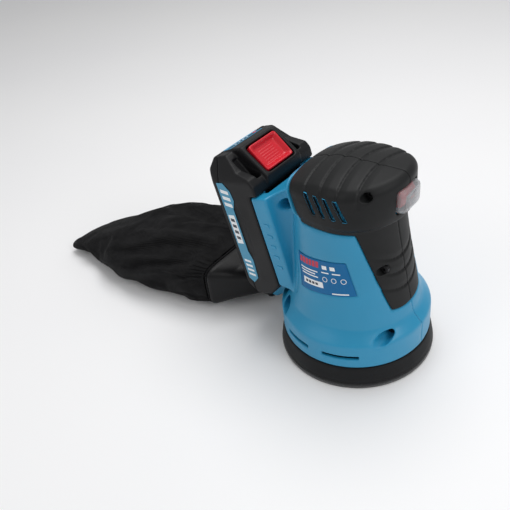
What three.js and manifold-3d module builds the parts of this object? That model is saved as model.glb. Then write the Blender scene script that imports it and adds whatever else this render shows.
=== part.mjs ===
// Cordless random orbital sander, 125 mm pad, as an assembly of separate pieces.
// Millimetres, +Z up. The origin is the centre of the pad on its sanding face.
// +X points to the switch end, -X to the battery and the dust bag; Y = 0 is the parting plane.

import * as THREE from 'three';
import { mergeVertices } from 'three/addons/utils/BufferGeometryUtils.js';
import Module from 'manifold-3d';

const wasm = await Module();
wasm.setup();

// ---------------------------------------------------------------- driving dimensions

const GAP = 0.3;                 // clearance between pieces that touch
const PRESS_FIT = 0.05;          // clearance of a piece fixed on its shaft
const SEGMENTS = 28;             // facets round a large round shape
const PAD_SEGMENTS = 36;         // facets round the pad and the skirt
const COARSE_SEGMENTS = 16;      // facets round a hollow
const SMALL_SEGMENTS = 10;       // facets round a small one

const PAD_R = 62.5;              // 125 mm pad
const PAD_TOP_R = 59.6;
const PAD_TOP_Z = 19;
const HOOK_THICKNESS = 4.2;
const PLATE_R = 52;
const PLATE_BOTTOM_Z = 12.5;
const PLATE_TOP_Z = 17.5;
const DUST_HOLES = 8;
const DUST_HOLE_R = 4.6;
const DUST_HOLE_CIRCLE_R = 38;
const PAD_SCREWS = 3;
const PAD_SCREW_CIRCLE_R = 17;

const ORBIT = 1.25;              // offset of the pad axis from the motor axis
const MOTOR_X = -ORBIT;
const SHAFT_R = 3;
const BEARING_R = 9.5;
const BEARING_HEIGHT = 6;
const LOWER_BEARING_Z = 40;
const UPPER_BEARING_Z = 118;
const MOTOR_R = 23.5;
const MOTOR_BOTTOM_Z = 54;
const MOTOR_TOP_Z = 104;
const MOTOR_CAN_WALL = 1.6;
const MAGNET_THICKNESS = 3;
const FAN_BLADES = 9;
const FAN_R = 46;
const FAN_Z = 31.5;

const SKIRT_R = 59.3;
const SKIRT_BOTTOM_Z = 19.7;
const SKIRT_RIDGE_Z = 41;
const SHOULDER_R = 52.5;
const SHOULDER_Z = 48;
const SKIRT_WALL = 2.6;
const CHAMBER_TOP_Z = 38;

const WALL = 5;                  // housing wall under and beside the soft grip
const GRIP_THICKNESS = 2.2;
const RIB_THICKNESS = 3;
const LOWER_RIB_Z = 84;
const UPPER_RIB_Z = 120;
const HEAD_VENTS = 4;
const HEAD_VENT_START_X = -13;
const HEAD_VENT_PITCH = 7.8;
const SKIRT_VENT_Z = 28.5;
const SKIRT_VENT_HEIGHT = 3;
const SKIRT_VENT_SPANS = [[-83, -55], [-119, -95], [55, 83], [95, 119]];   // degrees

// Stations of the neck and head: height, rear x, front x, half width, rear and front squareness.
const NECK = [
  [40, -53.5, 53.5, 53.5, 2, 2],
  [50, -51.5, 51.5, 51, 2, 2],
  [65, -48, 48.5, 46, 2.05, 2.1],
  [80, -45.5, 45.6, 42.5, 2.15, 2.15],
  [100, -43.5, 41.8, 39.8, 2.3, 2.2],
  [118, -41.5, 38.6, 38.6, 2.5, 2.25],
  [138, -38, 35.6, 38, 2.7, 2.3],
];
const HEAD = [
  [132.5, -31, 42.4, 38.6, 4.2, 2.1],
  [140, -33.5, 44.6, 39.4, 4.2, 2.1],
  [150, -36, 45.6, 39.6, 4.2, 2.1],
  [158, -37, 45.6, 39.2, 4.2, 2.1],
  [163, -36, 44.4, 37.6, 4, 2.1],
  [166.5, -32.5, 41.2, 33.6, 3.8, 2.1],
  [168, -24, 34, 25, 3.4, 2.1],
  [168, -10, 18, 11, 3, 2.1],
];
const CROWN_FALL_Y = 0.0045;     // the crown falls off towards the sides by this times y squared
const CROWN_FALL_REAR = 0.0055;  // and towards the rear, behind CROWN_X
const CROWN_X = 7;
const CROWN_START_Z = 140;
const HEAD_TOP_Z = 168;

// The battery stands on the rear of the body, leaning back by this angle. Its own frame has
// +Z along the rails and +X square to them towards the body, with x = 0 on the contact face.
const BATTERY_LEAN = THREE.MathUtils.degToRad(13.3);
const BATTERY_FOOT = new THREE.Vector3(-48, 0, 56);
const BATTERY_HALF_WIDTH = 37;
const BATTERY_DEPTH = 38.5;
const BATTERY_SPLIT_X = -29;
const MOUNT_LENGTH = 79.3;
const MOUNT_HALF_WIDTH = 36.3;
const MOUNT_FLANGE_DEPTH = 17;
const RAIL_HALF_WIDTH = 22;
const RAIL_LIP = 3.5;
const RAIL_DEPTH = 8;
const CELLS = 5;
const CELL_R = 9.1;
const CELL_LENGTH = 65;
const CELL_PITCH = 18.4;
const RELEASE_HALF_WIDTH = 16.5;
const RELEASE_LENGTH = 25;
const RELEASE_PROUD = 1.2;
const RELEASE_DEPTH = 4;
const RELEASE_RIM = 2.1;
const GAUGE_HALF_LENGTH = 5;
const GAUGE_HALF_WIDTH = 19;
const GAUGE_BUTTON_R = 1.7;
const GAUGE_BUTTON_X = 2.4;
const GAUGE_BUTTON_Y = 12;

const DUCT_HALF_WIDTH = 16;
const DUCT_BOTTOM_Z = 14.5;
const DUCT_TOP_Z = 35.5;
const DUCT_END_X = -86;
const DUCT_WALL = 2;
const DUCT_THROAT_Z = 28;
const DUCT_THROAT_HALF_WIDTH = 13;
const DUCT_THROAT_HALF_HEIGHT = 7;
const MOUTH_X = -122;
const MOUTH_HALF_WIDTH = 48;
const MOUTH_BOTTOM_Z = 7;
const MOUTH_TOP_Z = 46.5;

// Stations of the full bag: x, middle y, half width, bottom, top, squareness.
const BAG = [
  [-125.5, 0, 48, 6, 46.5, 6],
  [-143, -2.5, 54.5, 0.2, 49.5, 3.6],
  [-168, -3.5, 57.5, 0.2, 52.5, 2.8],
  [-200, -4.5, 57, 0.2, 50, 2.6],
  [-235, -12, 49.5, 0.2, 41, 2.6],
  [-262, -20, 40, 0.2, 31, 2.6],
  [-285, -29, 29, 0.2, 24, 2.6],
  [-302, -38, 18, 0.2, 17, 2.6],
  [-314, -43, 9, 0.2, 10, 2.6],
];

const ROCKER_PIVOT = new THREE.Vector2(37, 148.5);
const ROCKER_THROW = THREE.MathUtils.degToRad(12);
const BOOT_HALF_WIDTH = 12.5;    // clear cover over the rocker switch
const BOOT_HALF_HEIGHT = 9;
const BOOT_Z = 149.2;

const BIG = 400;                 // a length that reaches past the whole object

// Screws across the parting plane: x, z and the depth of the head's seat below the plane.
const SCREWS = [
  { name: 'housing_screw_head_front', x: 30.5, z: 159.5, seat: 22 },
  { name: 'housing_screw_neck', x: 37.5, z: 96, seat: 16 },
  { name: 'housing_screw_skirt', x: 45, z: 43, seat: 18 },
  { name: 'housing_screw_mount_top', x: -42, z: 129, seat: 14 },
  { name: 'housing_screw_mount_foot', x: -38, z: 43.5, seat: 18 },
];
const SCREW_HEAD_R = 3.1;
const SCREW_HEAD_LENGTH = 2.6;
const SCREW_SHANK_R = 1.5;
const SCREW_REACH = 12;          // how far a screw runs into the far half
const WELL_R = 4.4;              // wells that the screw heads sit in
const BOSS_R = 5.6;

// ---------------------------------------------------------------- materials

const material = (color, roughness, metalness = 0) =>
  new THREE.MeshStandardMaterial({ color, roughness, metalness });

const BLUE = [0x2476a1, 0.42];
const BLACK_RUBBER = [0x37383a, 0.72];
const BLACK_PLASTIC = [0x26272a, 0.5];
const STEEL = [0x9a9da1, 0.35, 0.9];
const RED = [0xc21b2c, 0.4];

// ---------------------------------------------------------------- shape helpers

// Turns a closed three.js geometry into a solid that can be cut and joined.
function solidOf(geometry) {
  const bare = geometry.clone();
  bare.deleteAttribute('normal');
  bare.deleteAttribute('uv');
  const merged = mergeVertices(bare, 1e-4);
  const corners = merged.index.array;
  const triangles = [];
  for (let i = 0; i < corners.length; i += 3) {
    const [a, b, c] = corners.slice(i, i + 3);
    if (a !== b && b !== c && c !== a) triangles.push(a, b, c);
  }
  return new wasm.Manifold(new wasm.Mesh({
    numProp: 3,
    vertProperties: new Float32Array(merged.attributes.position.array),
    triVerts: new Uint32Array(triangles),
  }));
}

function geometryOf(solid) {
  const mesh = solid.getMesh();
  const geometry = new THREE.BufferGeometry();
  geometry.setAttribute('position', new THREE.BufferAttribute(mesh.vertProperties, 3));
  geometry.setIndex(new THREE.BufferAttribute(mesh.triVerts, 1));
  geometry.computeVertexNormals();
  return geometry;
}

function box(x0, x1, y0, y1, z0, z1) {
  const geometry = new THREE.BoxGeometry(x1 - x0, y1 - y0, z1 - z0);
  return geometry.translate((x0 + x1) / 2, (y0 + y1) / 2, (z0 + z1) / 2);
}

function cylinderZ(x, y, r, z0, z1, segments = SMALL_SEGMENTS) {
  const geometry = new THREE.CylinderGeometry(r, r, z1 - z0, segments);
  return geometry.rotateX(Math.PI / 2).translate(x, y, (z0 + z1) / 2);
}

function cylinderY(x, z, r, y0, y1, segments = SMALL_SEGMENTS) {
  const geometry = new THREE.CylinderGeometry(r, r, y1 - y0, segments);
  return geometry.translate(x, (y0 + y1) / 2, z);
}

// A turned shape about a vertical axis, from an outline of [radius, height] points
// that starts and ends on the axis or closes on itself.
function turned(outline, segments = SEGMENTS, x = 0) {
  const first = outline[0];
  const onAxis = first[0] === 0;
  const loop = onAxis ? outline : [...outline, first];
  const points = loop.map(([r, z]) => new THREE.Vector2(r, z));
  if (!THREE.ShapeUtils.isClockWise(points)) {
    return new THREE.LatheGeometry(points, segments).rotateX(Math.PI / 2).translate(x, 0, 0);
  }
  return new THREE.LatheGeometry(points.reverse(), segments).rotateX(Math.PI / 2).translate(x, 0, 0);
}

function ring(inner, outer, z0, z1, x = 0, segments = SEGMENTS) {
  return turned([[inner, z0], [outer, z0], [outer, z1], [inner, z1]], segments, x);
}

// A side outline of [x, z] points, extruded across from y0 to y1.
function slab(outline, y0, y1) {
  const shape = new THREE.Shape(outline.map(([x, z]) => new THREE.Vector2(x, z)));
  const geometry = new THREE.ExtrudeGeometry(shape, { depth: y1 - y0, bevelEnabled: false });
  return geometry.rotateX(Math.PI / 2).translate(0, y1, 0);
}

// +1 when a section's angles run anticlockwise about the direction of the loft, else -1.
function sweepDirection(sections) {
  const middle = (section) => section(0).add(section(Math.PI)).multiplyScalar(0.5);
  const advance = middle(sections[sections.length - 1]).sub(middle(sections[0]));
  const start = sections[0](0).sub(middle(sections[0]));
  const quarter = sections[0](Math.PI / 2).sub(middle(sections[0]));
  return Math.sign(start.cross(quarter).dot(advance));
}

// A lathe whose rings are moved to the given sections; each section turns an angle into a point.
function loft(sections, segments = SEGMENTS) {
  const last = sections.length - 1;
  const outline = [new THREE.Vector2(0, 0)];
  sections.forEach((_, i) => outline.push(new THREE.Vector2(1, i)));
  outline.push(new THREE.Vector2(0, last));
  const geometry = new THREE.LatheGeometry(outline, segments);
  const position = geometry.attributes.position;
  const rows = outline.length;
  const turn = sweepDirection(sections);
  for (let i = 0; i < position.count; i += 1) {
    const row = i % rows;
    const angle = (turn * 2 * Math.PI * (Math.floor(i / rows) % segments)) / segments;
    const section = sections[Math.min(Math.max(row - 1, 0), last)];
    const onAxis = row === 0 || row === rows - 1;
    const point = onAxis
      ? section(0).add(section(Math.PI)).multiplyScalar(0.5)
      : section(angle);
    position.setXYZ(i, point.x, point.y, point.z);
  }
  return geometry;
}

const powered = (value, squareness) =>
  Math.sign(value) * Math.abs(value) ** (2 / squareness);

// A level section: an oval that may be squarer at the rear than at the front.
function levelSection([z, rear, front, half, rearSquareness, frontSquareness], inset) {
  const middle = (rear + front) / 2;
  return (angle) => {
    const ahead = Math.cos(angle) > 0;
    const squareness = ahead ? frontSquareness : rearSquareness;
    const reach = (front - rear) / 2 - inset;
    return new THREE.Vector3(
      middle + reach * powered(Math.cos(angle), squareness),
      (half - inset) * powered(Math.sin(angle), squareness),
      z,
    );
  };
}

// A section across the x axis: a rounded rectangle or oval about (y, z).
function crossSection(x, y, z, halfWidth, halfHeight, squareness) {
  return (angle) => new THREE.Vector3(
    x,
    y + halfWidth * powered(Math.cos(angle), squareness),
    z + halfHeight * powered(Math.sin(angle), squareness),
  );
}

function neck(inset, segments = SEGMENTS) {
  return solidOf(loft(NECK.map((station) => levelSection(station, inset)), segments));
}

// The head's crown falls off towards its sides and its rear.
function head(inset, segments = SEGMENTS) {
  const geometry = loft(HEAD.map((station) => levelSection(station, inset)), segments);
  const position = geometry.attributes.position;
  const span = HEAD_TOP_Z - CROWN_START_Z;
  for (let i = 0; i < position.count; i += 1) {
    const x = position.getX(i);
    const y = position.getY(i);
    const z = position.getZ(i);
    const share = THREE.MathUtils.smoothstep((z - CROWN_START_Z) / span, 0, 1);
    const behind = Math.min(x - CROWN_X, 0);
    const fall = CROWN_FALL_Y * y * y + CROWN_FALL_REAR * behind * behind;
    const top = THREE.MathUtils.smoothstep(z, HEAD[0][0], HEAD_TOP_Z);
    const floor = 1 - THREE.MathUtils.smoothstep(z, HEAD[0][0], HEAD[1][0]);
    position.setZ(i, z - share * fall + inset * (floor - top));
  }
  return solidOf(geometry);
}

const batteryMatrix = new THREE.Matrix4()
  .makeRotationY(-BATTERY_LEAN)
  .setPosition(BATTERY_FOOT);
const onMount = (geometry) => solidOf(geometry.applyMatrix4(batteryMatrix));

const join = (...solids) => solids.reduce((whole, piece) => whole.add(piece));
const cut = (solid, ...tools) => tools.reduce((rest, tool) => rest.subtract(tool), solid);

const model = new THREE.Group();
const battery = new THREE.Group();
battery.position.copy(BATTERY_FOOT);
battery.rotation.y = -BATTERY_LEAN;
model.add(battery);

function addMesh(parent, name, shape, look) {
  const geometry = shape.isBufferGeometry ? shape : geometryOf(shape);
  const mesh = new THREE.Mesh(geometry, material(...look));
  mesh.name = name;
  parent.add(mesh);
  return mesh;
}

// ---------------------------------------------------------------- housing and soft grip

// Where the soft grip lies, seen from the side: the head cover and the front panel of the neck.
function gripZone(inset, grow) {
  const headOutline = [
    [-38 - grow, 190], [-33.5 - grow, 157 - grow], [-19.5 - grow, 128], [90, 128], [90, 190],
  ];
  const panelOutline = [
    [19 - grow, 138], [44.4 - grow, 61.6 - grow], [48.5, 59.5 - grow], [90, 59.5 - grow], [90, 138],
  ];
  const cover = head(inset).intersect(solidOf(slab(headOutline, -BIG, BIG)));
  const panel = neck(inset).intersect(solidOf(slab(panelOutline, -BIG, BIG)));
  return cover.add(panel);
}

const core = (inset, segments = SEGMENTS) => head(inset, segments).add(neck(inset, segments));

function skirt() {
  return solidOf(turned([
    [0, SKIRT_BOTTOM_Z], [SKIRT_R, SKIRT_BOTTOM_Z], [SKIRT_R, SKIRT_RIDGE_Z - 1],
    [SKIRT_R - 1, SKIRT_RIDGE_Z], [SHOULDER_R, SHOULDER_Z], [0, SHOULDER_Z],
  ], PAD_SEGMENTS));
}

function chamber() {
  const wallR = SKIRT_R - SKIRT_WALL;
  return solidOf(turned([
    [0, SKIRT_BOTTOM_Z - 5], [wallR, SKIRT_BOTTOM_Z - 5], [wallR, CHAMBER_TOP_Z - 3],
    [wallR - 3, CHAMBER_TOP_Z], [0, CHAMBER_TOP_Z],
  ], SEGMENTS));
}

// The battery foot at the rear: a flange as wide as the battery, drawn in to a waist at the neck.
function mountBlock() {
  const outline = [[0, 0], [40, -9], [34, MOUNT_LENGTH + 4], [14, MOUNT_LENGTH], [0, MOUNT_LENGTH]];
  const block = onMount(slab(outline, -MOUNT_HALF_WIDTH, MOUNT_HALF_WIDTH));
  const hollowR = 15;
  const waist = [-1, 1].map((side) => onMount(cylinderZ(
    MOUNT_FLANGE_DEPTH + hollowR - 2, side * (MOUNT_HALF_WIDTH + 1), hollowR, -30, 130, 20)));
  return cut(block, ...waist);
}

// A lip of the housing that hugs the lower rear corners of the head.
function collar() {
  const outline = [[-60, 126], [-19.5 - GAP, 126], [-33.5 - GAP, 156], [-60, 146]];
  return head(-2.4).intersect(solidOf(slab(outline, -BIG, BIG)));
}

function railChannel() {
  const clear = 0.4;
  const half = RAIL_HALF_WIDTH + clear;
  const lipHalf = half + RAIL_LIP;
  const deep = box(0.6 + RAIL_DEPTH / 2 - clear, RAIL_DEPTH + 1, -lipHalf, lipHalf, 6, 200);
  const shallow = box(-1, RAIL_DEPTH + 1, -half, half, 6, 200);
  return join(onMount(deep), onMount(shallow));
}

// Room for the pack's rounded foot above the skirt's shoulder.
function packFootRoom() {
  const outline = [[-GAP, 4], [-GAP, -0.4], [-11.4, -11.2], [-60, -13.5], [-60, 4]];
  return onMount(slab(outline, -BATTERY_HALF_WIDTH - 2, BATTERY_HALF_WIDTH + 2));
}

function mountHollow() {
  return onMount(box(RAIL_DEPTH + 4, 38, -18, 18, 8, MOUNT_LENGTH - 6));
}

function ribs() {
  const motorBore = solidOf(cylinderZ(MOTOR_X, 0, MOTOR_R + GAP, 40, 140, 20));
  const bearingBore = solidOf(cylinderZ(MOTOR_X, 0, BEARING_R + GAP, 0, 200, 16));
  const inner = core(WALL - 1, COARSE_SEGMENTS);
  const level = (z, bore) => cut(inner.intersect(
    solidOf(box(-BIG, BIG, -BIG, BIG, z, z + RIB_THICKNESS))), bore);
  return join(level(LOWER_RIB_Z, motorBore), level(UPPER_RIB_Z, bearingBore));
}

function screwBosses(body) {
  return join(...SCREWS.map(({ x, z }) =>
    solidOf(cylinderY(x, z, BOSS_R, -60, 60)).intersect(body)));
}

function screwBores() {
  return join(...SCREWS.map(({ x, z, seat }) => join(
    solidOf(cylinderY(x, z, WELL_R, -BIG, -seat)),
    solidOf(cylinderY(x, z, SCREW_SHANK_R + GAP, -seat - 1, SCREW_REACH + 1, 8)))));
}

// Four leaning slots through each side wall of the head.
function headVents() {
  const slots = [];
  for (let i = 0; i < HEAD_VENTS; i += 1) {
    const x = HEAD_VENT_START_X + i * HEAD_VENT_PITCH;
    const outline = [[x, 155.5], [x + 2.6, 155.5], [x + 9.3, 141], [x + 6.7, 141]];
    slots.push(solidOf(slab(outline, -60, -28)), solidOf(slab(outline, 28, 60)));
  }
  return join(...slots);
}

// Curved slots low on the skirt, two on each side.
function skirtVents() {
  const slots = SKIRT_VENT_SPANS.map(([from, to]) => {
    const shape = new THREE.Shape();
    const start = THREE.MathUtils.degToRad(from);
    const end = THREE.MathUtils.degToRad(to);
    shape.absarc(0, 0, SKIRT_R + 4, start, end, false);
    shape.absarc(0, 0, SKIRT_R - 4, end, start, true);
    shape.closePath();
    const settings = { depth: SKIRT_VENT_HEIGHT, bevelEnabled: false, curveSegments: 4 };
    return solidOf(new THREE.ExtrudeGeometry(shape, settings).translate(0, 0, SKIRT_VENT_Z));
  });
  return join(...slots);
}

const ductThroat = (x, grow) => crossSection(
  x, 0, DUCT_THROAT_Z, DUCT_THROAT_HALF_WIDTH + grow, DUCT_THROAT_HALF_HEIGHT + grow, 5);

const rearDuct = (grow) => solidOf(loft([ductThroat(-40, grow), ductThroat(-64, grow)], 24));

const bootOpening = (grow) => solidOf(box(
  30, 60, -BOOT_HALF_WIDTH - grow, BOOT_HALF_WIDTH + grow,
  BOOT_Z - BOOT_HALF_HEIGHT - grow, BOOT_Z + BOOT_HALF_HEIGHT + grow));

const labelZone = (grow) => solidOf(slab([
  [-21 - grow, 72 - grow], [26 + grow, 79 - grow], [17 + grow, 105 + grow], [-26 - grow, 99 + grow],
], -60, -20));

const halves = [
  ['right', solidOf(box(-BIG, BIG, -BIG, -GAP / 2, -BIG, BIG))],
  ['left', solidOf(box(-BIG, BIG, GAP / 2, BIG, -BIG, BIG))],
];

function buildHousing() {
  const outer = join(skirt(), neck(0), head(GRIP_THICKNESS + GAP), mountBlock(), collar());
  const gripSeat = cut(gripZone(-GAP, GAP), core(GRIP_THICKNESS + GAP));
  const labelSeat = cut(labelZone(GAP), neck(0.8));
  const inside = join(
    core(WALL, COARSE_SEGMENTS).intersect(solidOf(box(-BIG, BIG, -BIG, BIG, CHAMBER_TOP_Z + 4, BIG))),
    chamber(), mountHollow());
  const bearingBore = solidOf(cylinderZ(MOTOR_X, 0, BEARING_R + GAP, 30, 60, 16));
  const shell = cut(outer, inside, gripSeat);
  const body = cut(
    join(shell, ribs(), screwBosses(cut(outer, gripSeat))),
    chamber(), bearingBore, railChannel(), packFootRoom(), screwBores(), headVents(), skirtVents(),
    rearDuct(GAP), bootOpening(GAP), labelSeat);
  for (const [side, half] of halves) {
    addMesh(model, `housing_${side}`, body.intersect(half), BLUE);
  }
}

function buildGrip() {
  const sleeve = cut(gripZone(0, 0), core(GRIP_THICKNESS),
    screwBores(), headVents(), bootOpening(GAP));
  for (const [side, half] of halves) {
    addMesh(model, `grip_${side}`, sleeve.intersect(half), BLACK_RUBBER);
  }
}

function buildScrews() {
  for (const { name, x, z, seat } of SCREWS) {
    const headSolid = solidOf(cylinderY(x, z, SCREW_HEAD_R, -seat - SCREW_HEAD_LENGTH, -seat - GAP, 10));
    const shank = solidOf(cylinderY(x, z, SCREW_SHANK_R, -seat - 1, SCREW_REACH, 8));
    const socket = solidOf(cylinderY(x, z, 1.2, -seat - 5, -seat - 1.4, 6));
    addMesh(model, name, cut(join(headSolid, shank), socket), STEEL);
  }
}

function buildRatingLabel() {
  const plate = cut(neck(0).intersect(labelZone(0)), neck(0.5));
  addMesh(model, 'rating_label', plate, [0x1f8fc4, 0.35]);
}

// ---------------------------------------------------------------- switch

function buildSwitch() {
  const skin = (inset, shapes) => solidOf(loft(shapes.map(([x, share]) => crossSection(
    x, 0, BOOT_Z, BOOT_HALF_WIDTH * share - inset, BOOT_HALF_HEIGHT * share - inset,
    3 + 3 * share)), 20));
  const outer = skin(0, [[40, 1], [45, 1], [47.6, 0.9], [49.2, 0.6]]);
  const inner = skin(1.3, [[38, 1], [45, 1], [46.8, 0.9], [48, 0.64]]);
  addMesh(model, 'switch_boot', cut(outer, inner), [0xd9dcdf, 0.3]);

  addMesh(model, 'switch_body', cut(
    solidOf(box(20, 38.5, -12, 12, 140, 153)),
    solidOf(box(33, 40, -9.5, 9.5, 142, 154))), [0x1c1d1f, 0.6]);

  // Drawn about its pivot at mid throw, then tipped to the off position.
  const rocker = slab([[-2.5, -3.5], [6, -5.3], [7.6, 1.1], [6.4, 7.1], [3.5, 7.1], [2.3, 4],
    [-2.5, 2]], -9, 9).rotateY(-ROCKER_THROW / 2).translate(ROCKER_PIVOT.x, 0, ROCKER_PIVOT.y);
  addMesh(model, 'switch_rocker', rocker, RED);
  addMesh(model, 'control_board', box(-16, 18, -20, 20, 136.5, 138.1), [0x1d6b3c, 0.6]);
}

// ---------------------------------------------------------------- motor, fan and orbit drive

function buildMotor() {
  const can = turned([
    [SHAFT_R + 1, MOTOR_BOTTOM_Z], [MOTOR_R, MOTOR_BOTTOM_Z], [MOTOR_R, MOTOR_TOP_Z],
    [MOTOR_R - MOTOR_CAN_WALL, MOTOR_TOP_Z],
    [MOTOR_R - MOTOR_CAN_WALL, MOTOR_BOTTOM_Z + MOTOR_CAN_WALL],
    [SHAFT_R + 1, MOTOR_BOTTOM_Z + MOTOR_CAN_WALL],
  ], 20, MOTOR_X);
  addMesh(model, 'motor_can', can, [0x6f7276, 0.35, 0.85]);
  const cap = turned([
    [SHAFT_R + 1, 112], [14, 112], [14, MOTOR_TOP_Z + 3], [MOTOR_R, MOTOR_TOP_Z + 3],
    [MOTOR_R, MOTOR_TOP_Z + GAP], [11, MOTOR_TOP_Z + GAP], [11, 109], [SHAFT_R + 1, 109],
  ], 20, MOTOR_X);
  addMesh(model, 'motor_end_cap', cap, [0x2b2c2e, 0.6]);
  const magnetR = MOTOR_R - MOTOR_CAN_WALL - GAP;
  const windingR = magnetR - MAGNET_THICKNESS - 1;
  addMesh(model, 'motor_magnets',
    ring(magnetR - MAGNET_THICKNESS, magnetR, 60, 98, MOTOR_X, 20), [0x3a3a3c, 0.6]);
  addMesh(model, 'armature',
    ring(SHAFT_R + PRESS_FIT, windingR, 62, 96, MOTOR_X, 20), [0xb87333, 0.4, 0.7]);
  addMesh(model, 'commutator',
    ring(SHAFT_R + PRESS_FIT, 7, 98, 106, MOTOR_X, 16), [0xb87333, 0.35, 0.8]);
  addMesh(model, 'motor_shaft', cylinderZ(MOTOR_X, 0, SHAFT_R, 31, 126, 16), STEEL);
  const bearing = (z) => ring(SHAFT_R + GAP, BEARING_R, z, z + BEARING_HEIGHT, MOTOR_X, 16);
  addMesh(model, 'lower_motor_bearing', bearing(LOWER_BEARING_Z), STEEL);
  addMesh(model, 'upper_motor_bearing', bearing(UPPER_BEARING_Z), STEEL);
}

function buildFan() {
  const plate = solidOf(ring(SHAFT_R + PRESS_FIT, FAN_R, FAN_Z, FAN_Z + 1.5, MOTOR_X, 24));
  const hub = solidOf(ring(SHAFT_R + PRESS_FIT, 8, FAN_Z, FAN_Z + 7, MOTOR_X, 16));
  const blades = [];
  for (let i = 0; i < FAN_BLADES; i += 1) {
    const blade = box(27, FAN_R - 0.5, -0.7, 0.7, 23, FAN_Z + 0.5).rotateZ(-0.35);
    const turn = (2 * Math.PI * i) / FAN_BLADES;
    blades.push(solidOf(blade.rotateZ(turn).translate(MOTOR_X, 0, 0)));
  }
  addMesh(model, 'dust_fan', join(plate, hub, ...blades), [0x2f3033, 0.55]);
}

function buildOrbitDrive() {
  const hub = solidOf(cylinderZ(MOTOR_X, 0, 9, 27, 30.7, 16));
  const wedge = new THREE.Shape();
  wedge.absarc(0, 0, 22, THREE.MathUtils.degToRad(110), THREE.MathUtils.degToRad(250), false);
  wedge.absarc(0, 0, 5, THREE.MathUtils.degToRad(250), THREE.MathUtils.degToRad(110), true);
  wedge.closePath();
  const settings = { depth: 3.7, bevelEnabled: false, curveSegments: 6 };
  const weight = solidOf(new THREE.ExtrudeGeometry(wedge, settings).translate(MOTOR_X, 0, 27));
  const pin = solidOf(cylinderZ(0, 0, 4, 15, 28, 14));
  addMesh(model, 'orbit_crank', join(hub, weight, pin), [0x8a8d92, 0.4, 0.85]);
  addMesh(model, 'pad_bearing_inner', ring(4.05, 6.6, 18.4, 25.6, 0, 14), STEEL);
  addMesh(model, 'pad_bearing_outer', ring(8.4, 10.9, 18.4, 25.6, 0, 16), STEEL);
}

// ---------------------------------------------------------------- pad

const aroundPad = (count, radius, make) => Array.from({ length: count }, (_, i) => {
  const angle = (2 * Math.PI * (i + 0.5)) / count;
  return make(radius * Math.cos(angle), radius * Math.sin(angle), i);
});

function buildPad() {
  const dustHoles = join(...aroundPad(DUST_HOLES, DUST_HOLE_CIRCLE_R, (x, y) =>
    solidOf(cylinderZ(x, y, DUST_HOLE_R, -5, 40, 8))));
  const hooks = solidOf(turned([
    [0, 0], [PAD_R - 0.2, 0], [PAD_R, 0.6], [PAD_R, HOOK_THICKNESS - 0.6],
    [PAD_R - 0.6, HOOK_THICKNESS], [0, HOOK_THICKNESS],
  ], PAD_SEGMENTS));
  addMesh(model, 'hook_disc', cut(hooks, dustHoles), [0x141518, 0.95]);

  const foam = solidOf(turned([
    [0, HOOK_THICKNESS + GAP], [PAD_R - 0.5, HOOK_THICKNESS + GAP], [PAD_R - 0.5, 6],
    [PAD_TOP_R, PAD_TOP_Z - 1], [PAD_TOP_R - 1, PAD_TOP_Z], [PLATE_R + GAP, PAD_TOP_Z],
    [PLATE_R + GAP, PLATE_BOTTOM_Z - GAP], [0, PLATE_BOTTOM_Z - GAP],
  ], PAD_SEGMENTS));
  addMesh(model, 'pad_foam', cut(foam, dustHoles), [0x1c1d20, 0.85]);

  const plate = solidOf(turned([
    [0, PLATE_BOTTOM_Z], [PLATE_R, PLATE_BOTTOM_Z], [PLATE_R, PLATE_TOP_Z], [22, PLATE_TOP_Z],
    [22, 25.8], [11.2, 25.8], [11.2, 18], [6, 18], [6, 14.6], [0, 14.6],
  ], SEGMENTS));
  const screwHoles = aroundPad(PAD_SCREWS, PAD_SCREW_CIRCLE_R, (x, y) => join(
    solidOf(cylinderZ(x, y, 1.8, 10, 40, 6)), solidOf(cylinderZ(x, y, 3.6, 24, 40, 8))));
  addMesh(model, 'backing_plate', cut(plate, dustHoles, ...screwHoles), [0x232427, 0.6]);
  aroundPad(PAD_SCREWS, PAD_SCREW_CIRCLE_R, (x, y, i) => {
    const shank = solidOf(cylinderZ(x, y, 1.4, 12.9, 25, 6));
    const top = solidOf(cylinderZ(x, y, 3, 24 + GAP, 25.8, 8));
    addMesh(model, `pad_screw_${i + 1}`, join(shank, top), STEEL);
  });
  addMesh(model, 'pad_brake_ring', ring(53.5, 56.3, PAD_TOP_Z + 0.5, 20.7, 0, PAD_SEGMENTS), [0x2a2b2d, 0.9]);
}

// ---------------------------------------------------------------- battery pack

// Outlines of the pack from the side, in its own frame: x towards the body, z along the rails.
// The middle carries the release button; the sides are lower, so fingers can reach round it.
const PACK_FOOT = [[0, 0], [-11, -10.5], [-27, -12], [-35, -4.5], [-BATTERY_DEPTH, 1]];
const GAUGE_REAR = [-33, 109.5];
const GAUGE_FRONT = [-22, 112];
const PACK_MIDDLE = [
  ...PACK_FOOT, [-BATTERY_DEPTH, 101], GAUGE_REAR, GAUGE_FRONT, [-10.5, 113], [8.8, 90.5],
  [8.5, 85], [6.5, 80], [0, 80],
];
const PACK_SIDES = [
  ...PACK_FOOT, [-BATTERY_DEPTH, 101], [-33, 109.5], [-20, 110.5], [-9, 98], [3.4, 93.5],
  [6.5, 88], [6.5, 80], [0, 80],
];
const PACK_FRAME_HALF_WIDTH = 21;
const PACK_ACROSS = [
  [-37, -30], [37, -30], [37, 91], [34.4, 98], [31, 106], [29, 111], [21.5, 114], [-21.5, 114],
  [-29, 111], [-31, 106], [-34.4, 98], [-37, 91],
];
const GAUGE_TILT = Math.atan2(GAUGE_FRONT[1] - GAUGE_REAR[1], GAUGE_FRONT[0] - GAUGE_REAR[0]);
const RELEASE_TOP = new THREE.Vector2(-8.4, 111.2);
const RELEASE_FOOT = new THREE.Vector2(6, 91.7);
const RELEASE_TILT = Math.atan2(RELEASE_TOP.y - RELEASE_FOOT.y, RELEASE_FOOT.x - RELEASE_TOP.x);
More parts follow.
